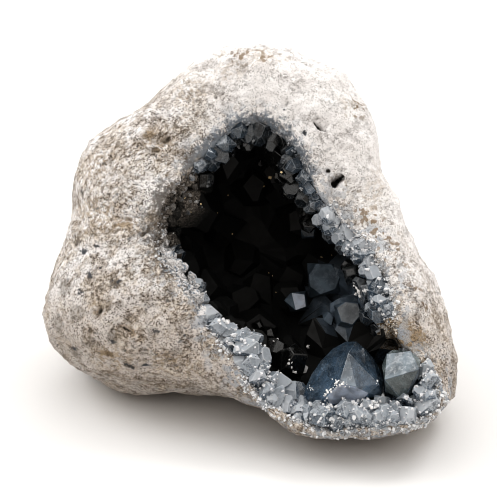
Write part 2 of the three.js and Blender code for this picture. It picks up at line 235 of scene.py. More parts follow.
def rim_of_mouth():
    """The height of the mouth's edge round it, by angle, as seen straight into it."""
    x, y, z = seen_straight(points_of(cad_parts["matrix_shell"].data)).T
    angle = np.arctan2(y, x)
    steps = np.linspace(-math.pi, math.pi, RIM_STEPS, endpoint=False)
    near = np.cos(angle[None, :] - steps[:, None]) > math.cos(2.5 * math.pi / RIM_STEPS)
    return steps, np.where(near, z[None, :], -np.inf).max(axis=1)


rim = rim_of_mouth()


def below_rim(straight):
    """How deep points lie under the edge of the mouth, in mm."""
    angle = np.arctan2(straight[:, 1], straight[:, 0])
    return np.interp(angle, *rim, period=2 * math.pi) - straight[:, 2]


def surface_of(mesh):
    """A mesh's surface, for finding the nearest place on it or where a line meets it."""
    faces = [tuple(f.vertices) for f in mesh.polygons]
    return BVHTree.FromPolygons([v.co.copy() for v in mesh.vertices], faces)


def distance_to(wall, points):
    return np.array([wall.find_nearest(p)[3] for p in points])


crust_wall = surface_of(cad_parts["crystal_crust"].data)
rock_wall = surface_of(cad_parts["matrix_shell"].data)

rock = merged_copy("matrix_shell", "rock")
shaped(rock, "REMESH", mode="VOXEL", voxel_size=ROCK_GRAIN)
shaped(rock, "SMOOTH", factor=0.5, iterations=SOFTENED)

points = points_of(rock.data)
points[:, 2] = np.maximum(points[:, 2], 0.0)
put_points(rock.data, points)
to_crust = distance_to(crust_wall, points)
outside = smooth_step(to_crust, *SKIN) * smooth_step(points[:, 2], *GROUND)
weigh(rock, "weathered", outside)
weigh(rock, "hidden", ((to_crust < SKIN[0]) | (points[:, 2] < GROUND[0])).astype(float))

for kind, size, reach, level in WEATHERING:
    pattern = bpy.data.textures.new(f"{kind.lower()} of {size} mm", kind)
    pattern.noise_scale = size * MM
    shaped(
        rock, "DISPLACE", texture=pattern, texture_coords="LOCAL", vertex_group="weathered",
        strength=reach * MM, mid_level=level,
    )

facing = seen_straight(points_of(rock.data))
for place in FILLED:
    off = oval(facing, *place)
    near_front = facing[:, 2] > facing[off < PORE_EDGE[1], 2].max() - PORE_FRONT
    edge = (off > PORE_EDGE[0]) & (off < PORE_EDGE[1]) & near_front
    columns = np.stack([np.ones(edge.sum()), facing[edge, 0], facing[edge, 1]], axis=1)
    plane = np.linalg.lstsq(columns, facing[edge, 2], rcond=None)[0]
    level = plane[0] + facing[:, 0] * plane[1] + facing[:, 1] * plane[2] - FILL_BELOW
    share = smooth_step(off, *FILL_EDGE) * near_front
    raised = facing[:, 2] + (level - facing[:, 2]) * share
    facing[:, 2] = np.where(facing[:, 2] < level, raised, facing[:, 2])
put_points(rock.data, facing * MM @ straight_turn.T + np.array(HEART))

# The single pores sink the surface that faces the viewer.
points = points_of(rock.data)
normals = normals_of(rock.data)
facing = seen_straight(points)
towards = seen_straight(points + normals * MM) - facing
sink = np.zeros(len(points))
for x, y, half_width, half_height, depth, turn in PORES:
    off = oval(facing, x, y, half_width, half_height, turn)
    sink += depth * np.exp(-(off ** 1.5)) * (towards[:, 2] > 0.1) * outside
points -= normals * sink[:, None] * MM
points[:, 2] = np.maximum(points[:, 2], 0.0)
put_points(rock.data, points)

shaped(rock, "DECIMATE", ratio=KEPT_FACES, vertex_group="hidden")

points = points_of(rock.data)
even = averaged(rock.data, points, EVENED)
relief = ((points - even) * normals_of(rock.data)).sum(1) / MM
remember(rock.data, "relief", np.clip(relief, -DEEPEST_RELIEF, DEEPEST_RELIEF))
to_crust = distance_to(crust_wall, points) / MM
facing = seen_straight(points)
# inside: painted shade, near black on the wall under the crust deep in the hollow
covered = 1.0 - smooth_step(to_crust, 0.5, 1.6)
remember(rock.data, "inside", covered * smooth_step(below_rim(facing), 4.0, 10.0))
remember(rock.data, "by_mouth", 1.0 - smooth_step(to_crust, 1.0, 14.0))
for kind, ovals in MARKS.items():
    level = np.max([1.0 - 0.5 * oval(facing, *mark) for mark in ovals], axis=0)
    remember(rock.data, kind, np.clip(level, 0.0, 1.0) * (facing[:, 2] > FRONT))


def add(tree, kind, inputs=None, **settings):
    """Adds a shader node with these settings, and sets its inputs or links them."""
    made = tree.nodes.new(kind)
    for name, value in settings.items():
        setattr(made, name, value)
    for name, value in (inputs or {}).items():
        if isinstance(value, bpy.types.NodeSocket):
            tree.links.new(value, made.inputs[name])
        else:
            made.inputs[name].default_value = value
    return made


def tree_of(*values):
    """The shader tree that the first socket among these values belongs to."""
    return next(value for value in values if isinstance(value, bpy.types.NodeSocket)).id_data


def mixed(share, a, b):
    """A colour between a and b."""
    colours = {6: a, 7: b}
    for place, colour in colours.items():
        if not isinstance(colour, bpy.types.NodeSocket):
            colours[place] = (*colour, 1.0)
    inputs = {0: share, **colours}
    return add(tree_of(share), "ShaderNodeMix", inputs, data_type="RGBA").outputs[2]


def ranged(value, low, high, start=0.0, end=1.0):
    """Turns the range from low to high into start to end, smoothly."""
    inputs = {"Value": value, "From Min": low, "From Max": high, "To Min": start, "To Max": end}
    made = add(tree_of(value), "ShaderNodeMapRange", inputs, interpolation_type="SMOOTHSTEP")
    return made.outputs[0]


def joined(operation, *values):
    """Values joined one after the other by a sum, a product or the like."""
    tree, total = tree_of(*values), values[0]
    for value in values[1:]:
        total = add(tree, "ShaderNodeMath", {0: total, 1: value}, operation=operation).outputs[0]
    return total


def sum_of(*values):
    return joined("ADD", *values)


def product(*values):
    return joined("MULTIPLY", *values)


def clouds(place, size, detail=3.0, rough=0.55):
    """Cloudy noise of this size in mm."""
    inputs = {"Vector": place, "Scale": 1 / (size * MM), "Detail": detail, "Roughness": rough}
    return add(tree_of(place), "ShaderNodeTexNoise", inputs).outputs[0]


def lines_in(noise):
    """How far a noise is from its middle level, which draws winding lines where it is 0."""
    off = joined("SUBTRACT", noise, 0.5)
    return add(tree_of(noise), "ShaderNodeMath", {0: off}, operation="ABSOLUTE").outputs[0]


def darkened(colour, value):
    """A colour times a value."""
    inputs = {0: colour, "Scale": value}
    return add(tree_of(colour), "ShaderNodeVectorMath", inputs, operation="SCALE").outputs[0]


def attribute(tree, name):
    return add(tree, "ShaderNodeAttribute", attribute_name=name).outputs["Fac"]


def new_group(name, inputs, outputs):
    """An empty shader group with these sockets and their kinds, and its two ends."""
    group = bpy.data.node_groups.new(name, "ShaderNodeTree")
    for sockets, side in ((inputs, "INPUT"), (outputs, "OUTPUT")):
        for socket, kind in sockets.items():
            group.interface.new_socket(socket, in_out=side, socket_type=f"NodeSocket{kind}")
    return group, group.nodes.new("NodeGroupInput"), group.nodes.new("NodeGroupOutput")


def new_material(name):
    material = bpy.data.materials.new(name)
    material.use_nodes = True
    tree = material.node_tree
    return material, tree, tree.nodes["Principled BSDF"]


def bumpy(tree, surface, height, distance, strength):
    """Raises a material's surface by this height, with a distance in mm."""
    inputs = {"Height": height, "Distance": distance * MM, "Strength": strength}
    bump = add(tree, "ShaderNodeBump", inputs)
    tree.links.new(bump.outputs[0], surface.inputs["Normal"])


# Grains: cells of one size in mm with wavy edges, each with a random number, and how far a
# place is from the middle of its cell.
grains, given, result = new_group(
    "grains", {"Vector": "Vector", "Size": "Float", "Wave": "Float"},
    {"Number": "Float", "Middle": "Float"},
)
width = product(given.outputs["Size"], MM)
scale = joined("DIVIDE", 1.0, width)
vector = given.outputs["Vector"]
waves = add(grains, "ShaderNodeTexNoise", {"Vector": vector, "Scale": scale, "Detail": 1.0})
wave = product(width, given.outputs["Wave"])
moved = add(
    grains, "ShaderNodeVectorMath", {0: waves.outputs["Color"], 1: wave, 2: vector},
    operation="MULTIPLY_ADD",
).outputs[0]
found = add(grains, "ShaderNodeTexVoronoi", {"Vector": moved, "Scale": scale})
number = add(grains, "ShaderNodeSeparateColor", {0: found.outputs["Color"]}).outputs[0]
grains.links.new(number, result.inputs["Number"])
grains.links.new(found.outputs["Distance"], result.inputs["Middle"])


def cells(place, size, wave=0.35):
    """Grains of this size in a material: the number and the distance from the middle."""
    inputs = {"Vector": place, "Size": size, "Wave": wave}
    placed = add(tree_of(place), "ShaderNodeGroup", inputs, node_tree=grains)
    return placed.outputs["Number"], placed.outputs["Middle"]


# Some of these are painted shade: the two shades by the mouth, the colours of the shallow hollows and of
# the pits, and the near black inside the hollow; the beige and underside colours are partly painted shade.
ROCK_COLOURS = {
    "white": (0.97, 0.95, 0.94), "off_white": (0.89, 0.86, 0.845), "beige": (0.64, 0.56, 0.48),
    "underside": (0.53, 0.465, 0.405), "tan": (0.42, 0.31, 0.19), "brown": (0.33, 0.24, 0.14),
    "dull": (0.30, 0.275, 0.245), "sand": (0.10, 0.08, 0.065), "grey_grain": (0.16, 0.165, 0.17),
    "dark": (0.055, 0.06, 0.07), "druse": (0.36, 0.41, 0.47), "brown_shade": (0.17, 0.155, 0.14),
    "blue_shade": (0.15, 0.175, 0.205), "scale_edge": (0.70, 0.59, 0.46),
    "crevice": (0.12, 0.085, 0.055), "specks": (0.26, 0.19, 0.12), "crack": (0.17, 0.115, 0.07),
    "hollow_shade": (0.27, 0.20, 0.13), "pit_shade": (0.045, 0.04, 0.035), "inside": (0.012, 0.013, 0.012),
}
BEDDING = (math.radians(38), 3.4)  # which way the rock's thin scales run, and how long they are
CREVICES = ((3.2, 0.024), (2.1, 0.034))  # sizes in mm of the scales, and how wide their gaps are
DRUSE_SPECK = 2.0  # mm


def stone():
    """Pale sandy rock: grains from white to dark grey, dull patches, and painted shade in its hollows."""
    material, tree, surface = new_material("sandy rock")
    place = add(tree, "ShaderNodeTexCoord").outputs["Object"]
    straight = add(
        tree, "ShaderNodeMapping",
        {"Vector": place, "Location": HEART, "Rotation": (LEAN_BACK, 0, 0)}, vector_type="TEXTURE",
    ).outputs[0]
    across, up, out = add(tree, "ShaderNodeSeparateXYZ", {0: straight}).outputs
    relief = attribute(tree, "relief")
    by_mouth = attribute(tree, "by_mouth")

    def stain_and_shade(colour, *shares):
        """The rock's colour so far, with one more of its colours over a share of it."""
        return mixed(product(*shares), body, ROCK_COLOURS[colour])

    # Nearly white on the upper right, and beige on the left, at the back and below: partly the
    # rock's own tone, partly painted shade on the side away from the light.
    left = ranged(sum_of(product(across, 0.8), up), 0.064, 0.008)
    left = joined("MAXIMUM", left, ranged(out, -0.04, -0.07))
    off_white = ranged(clouds(place, 8.0), 0.35, 0.7)
    body = mixed(off_white, ROCK_COLOURS["white"], ROCK_COLOURS["off_white"])
    body = stain_and_shade("beige", ranged(clouds(place, 7.0, 5.0, 0.65), 0.46, 0.62), left, 0.7)
    body = stain_and_shade("underside", ranged(up, -0.004, -0.034), left, 0.66)

    # Tan stains that gather in lines, and brown ones.
    tan = product(attribute(tree, "tan"), ranged(clouds(place, 2.2, 4.0, 0.75), 0.46, 0.56))
    body = stain_and_shade("tan", tan, 0.75, sum_of(product(left, 0.5), 0.5))
    brown = sum_of(product(attribute(tree, "brown"), 0.6), clouds(place, 1.2, 4.0, 0.75))
    body = stain_and_shade("brown", ranged(brown, 0.75, 1.0), 0.9)

    # Dull patches where larger grains have broken out.
    ragged = clouds(place, 1.6, 4.0, 0.7)
    dull = sum_of(attribute(tree, "dull"), product(ragged, 1.4))
    body = stain_and_shade("dull", ranged(dull, 1.1, 1.45), 0.5)

    # Grains of three sizes: grey ones, and dark sand that lies thicker in some places.
    strength = sum_of(product(left, 0.55), 0.45)
    body = darkened(body, sum_of(product(left, -0.03), 0.91))
    number, middle = cells(place, 1.2)
    small, small_middle = cells(place, 0.62)
    tiny, tiny_middle = cells(place, 0.4, 0.15)
    grey = product(strength, ranged(small, 0.5, 0.95), 0.3)
    body = darkened(body, sum_of(product(grey, -1.0), 1.06))
    sandy = ranged(clouds(place, 3.5, 3.0), 0.38, 0.62, 0.55, 1.0)
    body = stain_and_shade("sand", strength, sandy, ranged(tiny, 0.72, 0.82))

    # Clusters of dark and blue-grey grains.
    cluster = ranged(clouds(place, 6.5, 4.0, 0.65), 0.5, 0.64)
    body = stain_and_shade("grey_grain", ranged(number, 0.84, 0.9), cluster, strength, 0.8)
    dark = sum_of(attribute(tree, "dark"), product(small, 0.6))
    body = stain_and_shade("dark", ranged(dark, 0.85, 1.0), 0.95)

    # Blue-grey where the crystals' druse runs out over the rock round the mouth.
    speck, _ = cells(straight, DRUSE_SPECK, 0.5)
    thick = sum_of(product(by_mouth, 0.35), speck)
    body = stain_and_shade("druse", by_mouth, ranged(thick, 0.65, 0.85), 0.75)
    # Painted shade where the rock turns into the mouth: brown at the left, blue-grey further right.
    at_right = ranged(across, -0.03, -0.015)
    dusk = mixed(at_right, ROCK_COLOURS["brown_shade"], ROCK_COLOURS["blue_shade"])
    shade = sum_of(
        product(attribute(tree, "shade"), 0.8), product(by_mouth, 0.4),
        product(ragged, 1.2), product(small, 0.35), product(speck, 0.25),
    )
    body = mixed(product(ranged(shade, 1.45, 1.95), 0.92), body, dusk)

    # Crevices that run up to the right, where the rock is bedded in thin scales with tan edges.
    turn, stretch = BEDDING
    bedded = add(
        tree, "ShaderNodeMapping",
        {"Vector": straight, "Rotation": (0, 0, turn), "Scale": (stretch, 1.0, 1.0)}, vector_type="TEXTURE",
    ).outputs[0]
    scaly = product(ranged(clouds(place, 11.0, 3.0), 0.45, 0.6), left)
    streaked = 0.0
    for size, width in CREVICES:
        scales = lines_in(clouds(bedded, size, 4.0, 0.62))
        broken = ranged(clouds(place, size * 0.8, 2.0), 0.49, 0.55)
        body = stain_and_shade("scale_edge", ranged(scales, 3 * width, 0.0), scaly, 0.3)
        line = product(ranged(scales, 0.8 * width, width * 0.25), scaly, broken)
        streaked = joined("MAXIMUM", streaked, line)
    body = stain_and_shade("crevice", streaked, 0.85)
    patchy = ranged(clouds(place, 4.0), 0.42, 0.52)
    body = stain_and_shade("specks", ranged(number, 0.72, 0.8), attribute(tree, "specks"), patchy, 0.9)

    # Thin cracks between the grains, brown where dirt has gathered in them. Then painted shade:
    # brown in the shallow hollows on the left, near black in the deepest pits, and near black on
    # the wall under the crust deep in the hollow.
    ridge = ranged(lines_in(clouds(place, 3.0, 5.0, 0.7)), 0.022, 0.004)
    crack = product(ridge, ranged(clouds(place, 7.0), 0.48, 0.6), strength)
    body = stain_and_shade("crack", crack, 0.75)
    body = stain_and_shade("hollow_shade", ranged(relief, -0.15, -0.6), left, 0.3)
    body = stain_and_shade("pit_shade", ranged(relief, -0.45, -1.2))
    body = stain_and_shade("inside", attribute(tree, "inside"))

    fine = clouds(place, 0.5, 3.0, 0.65)
    raised = [
        (middle, -0.15), (small_middle, -0.25), (fine, 0.8), (crack, -0.8), (streaked, -0.8),
        (tiny_middle, -0.5),
    ]
    height = sum_of(*(product(value, share) for value, share in raised))
    bumpy(tree, surface, height, 0.5, 1.0)
    tree.links.new(body, surface.inputs["Base Color"])
    tree.links.new(ranged(fine, 0.3, 0.7, 0.95, 0.75), surface.inputs["Roughness"])
    surface.inputs["Specular IOR Level"].default_value = 0.3
    return material


rock.data.materials.clear()
rock.data.materials.append(stone())
only(rock)
bpy.ops.object.shade_smooth()
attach(rock, "root")
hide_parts("matrix_shell")

# The crust
# The wall of the hollow is lined with celestite that grew into it as one crust, with blocky
# blue crystals up to 29 mm across. They are clear, and milky where they reach out to the rim.
# Deep in the hollow, where light dies between them, painted shade turns them dark.
LOOKS_DOWN = math.radians(25)  # how steeply the eye looks down on the middle of the mouth
AWAY = 1000  # mm from there to the eye
EYE = HEART + AWAY * MM * Vector((0, -math.cos(LOOKS_DOWN), math.sin(LOOKS_DOWN)))

# Painted shade darkens the crust, its crystals and the grit deep in the hollow; these values say where.
# How much deeper light reaches into the hollow, or less deep: mm, and where: x, y, reach.
OPEN_TO_LIGHT = [(20, 36, -46, 26), (9, 30, -10, 16)]
SHADED = [(12, -31, 17, 17), (8, 0, 36, 16)]
LIT_DEPTH = (4.0, 18.0)  # mm below the rim where the crystals turn dark

# Grit of the rock that has overgrown the crust's edge, laid out like the marks.
GRITTY = [(-29, 14, 7.5, 16, -30), (-26.5, -11.5, 4.2, 15, 30), (49.5, -31, 4.5, 6, 20)]
GRIT_DEPTH = (8.0, 22.0)  # mm below the rim where the grit turns dark, later than the crystals
GRIT_EDGE = 24  # mm below the rim, where it ends
GRIT_SHADE = (8, -29, 14, 14)  # the same for the grit as SHADED says for the crystals

# The painted shade is lighter at the dim spot and full in the nook.
DIM_SPOT, DIM_BACK = (36, -17, 14), -48  # a place that gets a little light: x, y, reach; depth
NOOK, NOOK_FRONT = (42.5, -33, 7), 10  # a dark one behind the great crystal
PALE_SPOT = (-27, -10, 12)  # where the crust is palest

# The great crystal and the block beside it are cut as pieces of their own, so the crust's own
# faces sink under them: middle, reach and share of the way to the rock. A tip of the crust that
# would still stick out behind them is pulled part of the way into the great crystal.
OVERLAID = [(32, -47, 17, 0.35), (53.5, -46, 8, 0.25)]
TIP = {"at": (41.3, -31.5), "reach": 5, "share": 0.5, "into": (37, -43, 0)}

# painted shade: the colour the crystals and the grit turn to deep in the hollow
DEEP_SHADE = (0.009, 0.0095, 0.009)  # what is left of the crystals' colour deep in the hollow
CELESTITE_IOR = 1.62


def place_of(x, y, z):
    """The point at depth z in line with x and y on the plane of the mouth, seen from the eye."""
    along = Vector((x, y, 0)) - Vector((0, 0, AWAY))
    straight = Vector((0, 0, AWAY)) + along * (1 - z / AWAY)
    return Matrix.Rotation(LEAN_BACK, 3, "X") @ straight * MM + HEART


def close_to(straight, x, y, reach):
    """1 at a place on the plane of the mouth, fading over this reach in mm."""
    return np.exp(-((straight[:, 0] - x) ** 2 + (straight[:, 1] - y) ** 2) / reach ** 2)


def shift_by(straight, spots):
    """How many mm a depth shifts by at these spots."""
    return sum(mm * close_to(straight, *spot) for mm, *spot in spots)


def deepness(points):
    """How far painted shade darkens a place: 0 at the rim to 1 deep in the hollow, soonest at the upper
    left.
    """
    straight = seen_straight(points)
    depth = below_rim(straight) - shift_by(straight, OPEN_TO_LIGHT) + shift_by(straight, SHADED)
    return smooth_step(depth, *LIT_DEPTH)


def gritty(straight):
    """Where grit of the rock has overgrown the crust's edge, at the left and the right."""
    return np.min([oval(straight, *zone) for zone in GRITTY], axis=0) < 1.0


def deepness_of_all(points):
    """The same for crystals and grit, which turns dark later, but soonest at the upper left."""
    straight = seen_straight(points)
    in_grit = smooth_step(below_rim(straight) + shift_by(straight, [GRIT_SHADE]), *GRIT_DEPTH)
    return np.where(gritty(straight), in_grit, deepness(points))


def dim_light(points):
    """Where the lower right of the hollow still gets a little light: 1 in its middle."""
    straight = seen_straight(points)
    return np.clip(1.5 * close_to(straight, *DIM_SPOT), 0.0, 1.0) * (straight[:, 2] > DIM_BACK)


def behind_great(straight):
    """1 in the dark nook behind the great crystal."""
    return close_to(straight, *NOOK) * (straight[:, 2] < NOOK_FRONT)


# Frost: veils inside the stone and a bloom on it, in patches, wisps and where faces look up.
frosting, given, result = new_group(
    "frosting", {"Clear": "Color", "Veil": "Color", "Pale": "Float", "Deep": "Float"},
    {"Color": "Color", "Frost": "Float", "Marks": "Float"},
)
where = add(frosting, "ShaderNodeTexCoord").outputs
place, pale = where["Object"], given.outputs["Pale"]
upward = add(frosting, "ShaderNodeSeparateXYZ", {0: where["Normal"]}).outputs[2]
patches = ranged(clouds(place, 2.6, 4.0, 0.65), 0.47, 0.6)
wisps = ranged(lines_in(clouds(place, 2.8, 5.0, 0.7)), 0.03, 0.0)
sparkle = ranged(clouds(place, 0.8, 3.0, 0.7), 0.54, 0.62)
settled = product(upward, sum_of(product(pale, 1.2), 0.15))
sparkling = product(sparkle, sum_of(pale, 0.1), 0.7)
frost = sum_of(
    product(patches, 0.6), product(wisps, 0.45),
    product(pale, 1.1), settled, sparkling,
)
frost = ranged(frost, 0.3, 1.7)
depths = ranged(clouds(place, 5.0, 2.0), 0.35, 0.65, 0.6, 1.25)
body = darkened(given.outputs["Clear"], depths)
body = mixed(frost, body, given.outputs["Veil"])
# Painted shade: the colour turns black as Deep rises, deep in the hollow.
body = mixed(given.outputs["Deep"], body, DEEP_SHADE)
frosting.links.new(body, result.inputs["Color"])
frosting.links.new(frost, result.inputs["Frost"])
frosting.links.new(clouds(place, 2.2, 3.0, 0.6), result.inputs["Marks"])


def crystal(name, clear, veil, roughness, transmission, gloss=0.5):
    """Celestite: clear to milky blue, with growth marks that frost its faces a little."""
    material, tree, surface = new_material(name)
    values = {
        "Clear": (*clear, 1.0), "Veil": (*veil, 1.0),
        "Pale": attribute(tree, "pale"), "Deep": attribute(tree, "deep"),
    }
    frosted = add(tree, "ShaderNodeGroup", values, node_tree=frosting).outputs
    bumpy(tree, surface, frosted["Marks"], 0.12, 0.5)
    tree.links.new(frosted["Color"], surface.inputs["Base Color"])
    tree.links.new(ranged(frosted["Frost"], 0.0, 1.0, *roughness), surface.inputs["Roughness"])
    surface.inputs["Transmission Weight"].default_value = transmission
    surface.inputs["Specular IOR Level"].default_value = gloss
    surface.inputs["IOR"].default_value = CELESTITE_IOR
    return material


def grit():
    """Grit: dark at the upper left of the mouth, bluish where it is pale, sandy at the right."""
    material, tree, surface = new_material("gritty crust")
    place = add(tree, "ShaderNodeTexCoord").outputs["Object"]
    number, middle = cells(place, 0.7)
    fine = clouds(place, 1.6, 4.0, 0.7)
    dark = mixed(ranged(number, 0.2, 1.0), (0.08, 0.07, 0.06), (0.36, 0.32, 0.28))
    dark = mixed(ranged(fine, 0.5, 0.6), dark, (0.20, 0.175, 0.15))
    sandy = mixed(ranged(number, 0.1, 0.9), (0.72, 0.68, 0.63), (0.30, 0.22, 0.13))
    sandy = mixed(ranged(fine, 0.5, 0.62), sandy, (0.12, 0.09, 0.06))
    blue = mixed(ranged(number, 0.5, 1.0), (0.90, 0.88, 0.87), (0.38, 0.42, 0.47))
    patches = ranged(clouds(place, 4.0, 3.0), 0.56, 0.68)
    blue = mixed(patches, blue, (0.30, 0.35, 0.41))
    at_right = ranged(add(tree, "ShaderNodeSeparateXYZ", {0: place}).outputs[0], 0.0, 0.01)
    body = mixed(ranged(attribute(tree, "pale"), 0.2, 0.45), dark, blue)
    body = mixed(at_right, body, sandy)
    body = mixed(attribute(tree, "deep"), body, DEEP_SHADE)
    bumpy(tree, surface, sum_of(product(middle, -0.9), fine), 1.0, 1.0)
    tree.links.new(body, surface.inputs["Base Color"])
    surface.inputs["Roughness"].default_value = 0.85
    surface.inputs["Specular IOR Level"].default_value = 0.2
    return material


def put_sorts(mesh, sorts):
    """Gives each face of a mesh one of its materials."""
    mesh.polygons.foreach_set("material_index", np.array(sorts, np.int32))


crust = merged_copy("crystal_crust", "celestite_crust")
points = points_of(crust.data)
straight = seen_straight(points)
backing = np.array([rock_wall.find_nearest(p)[0] for p in points])
for x, y, reach, share in OVERLAID:
    under = np.hypot(straight[:, 0] - x, straight[:, 1] - y) < reach
    points[under] += (backing[under] - points[under]) * share
tip = np.hypot(straight[:, 0] - TIP["at"][0], straight[:, 1] - TIP["at"][1]) < TIP["reach"]
points[tip] += (np.array(place_of(*TIP["into"])) - points[tip]) * TIP["share"]
put_points(crust.data, points)

# deep is painted shade, lighter where a little light still reaches and full in the nook behind the great
# crystal.
deep = deepness_of_all(points) * (1 - 0.8 * dim_light(points))
remember(crust.data, "deep", np.maximum(deep, behind_great(straight)))
remember(crust.data, "pale", 0.15 + 0.6 * close_to(straight, *PALE_SPOT))
overgrown = grit()
crust.data.materials.clear()
# The dark copy of the celestite is painted shade deep in the hollow, and the dim copy painted half shade
# where a little light still reaches.
for material in (
    crystal("clear celestite", (0.17, 0.23, 0.30), (0.42, 0.49, 0.57), (0.05, 0.35), 0.7),
    crystal("celestite in painted shade", (0.010, 0.010, 0.009), (0.02, 0.02, 0.017), (0.6, 0.8), 0.4, 0.03),
    crystal("dim celestite", (0.17, 0.22, 0.28), (0.30, 0.35, 0.41), (0.3, 0.5), 0.3, 0.12),
    overgrown,
):
    crust.data.materials.append(material)
CLEAR, IN_SHADE, DIM, OVERGROWN = range(4)
centres = np.array([f.center for f in crust.data.polygons])
straight = seen_straight(centres)
sort = np.where(deepness(centres) < 0.45, CLEAR, np.where(dim_light(centres) > 0.45, DIM, IN_SHADE))
sort[behind_great(straight) > 0.37] = IN_SHADE
sort[gritty(straight) & (below_rim(straight) < GRIT_EDGE)] = OVERGROWN
put_sorts(crust.data, sort)
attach(crust, "root")
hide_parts("crystal_crust")

# The small crystals
# The crust ends in a band of small, blocky crystals that are grown into it and into the edge of
# the rock. Between them and out over the rock lies a fine druse of the same stone. Each piece
# is many copies of a few crystal forms, joined.
FORM_FACES = {  # the planes that cut a block one unit wide: direction and reach from its middle
    "roofed": [
        ((0.8, 0, 0.6), 0.42), ((-0.8, 0, 0.6), 0.46), ((0, 0.7, 0.71), 0.5),
        ((0, -0.7, 0.71), 0.55),
    ],
    "pointed": [
        ((0.7, 0.7, 0.1), 0.47), ((-0.7, 0.7, 0.1), 0.5), ((0.7, -0.7, 0.1), 0.52),
        ((-0.7, -0.7, 0.1), 0.46), ((0.8, 0.1, 0.6), 0.4), ((-0.7, 0.2, 0.7), 0.44),
        ((0.1, -0.8, 0.6), 0.42), ((-0.1, 0.75, 0.65), 0.47),
    ],
    "tabular": [
        ((0.2, 0.95, 0.25), 0.2), ((-0.2, -0.95, 0.2), 0.18), ((0.75, 0, 0.66), 0.45),
        ((-0.6, 0, 0.8), 0.4),
    ],
    "blocky": [
        ((0.6, 0.5, 0.62), 0.5), ((-0.55, 0.6, 0.58), 0.52), ((0.1, -0.85, 0.5), 0.45),
        ((-0.75, -0.3, 0.6), 0.5),
    ],
}
WEAR = 0.03  # width of a worn edge, as a share of the crystal's width
BLOCK_BESIDE = (53, -46, 8.5)  # x, y and reach of the block beside the great crystal
LEFT_LIP, TOP = (-28, -8, 11), (3, 36, 26)  # frosted places of the mouth, given the same way

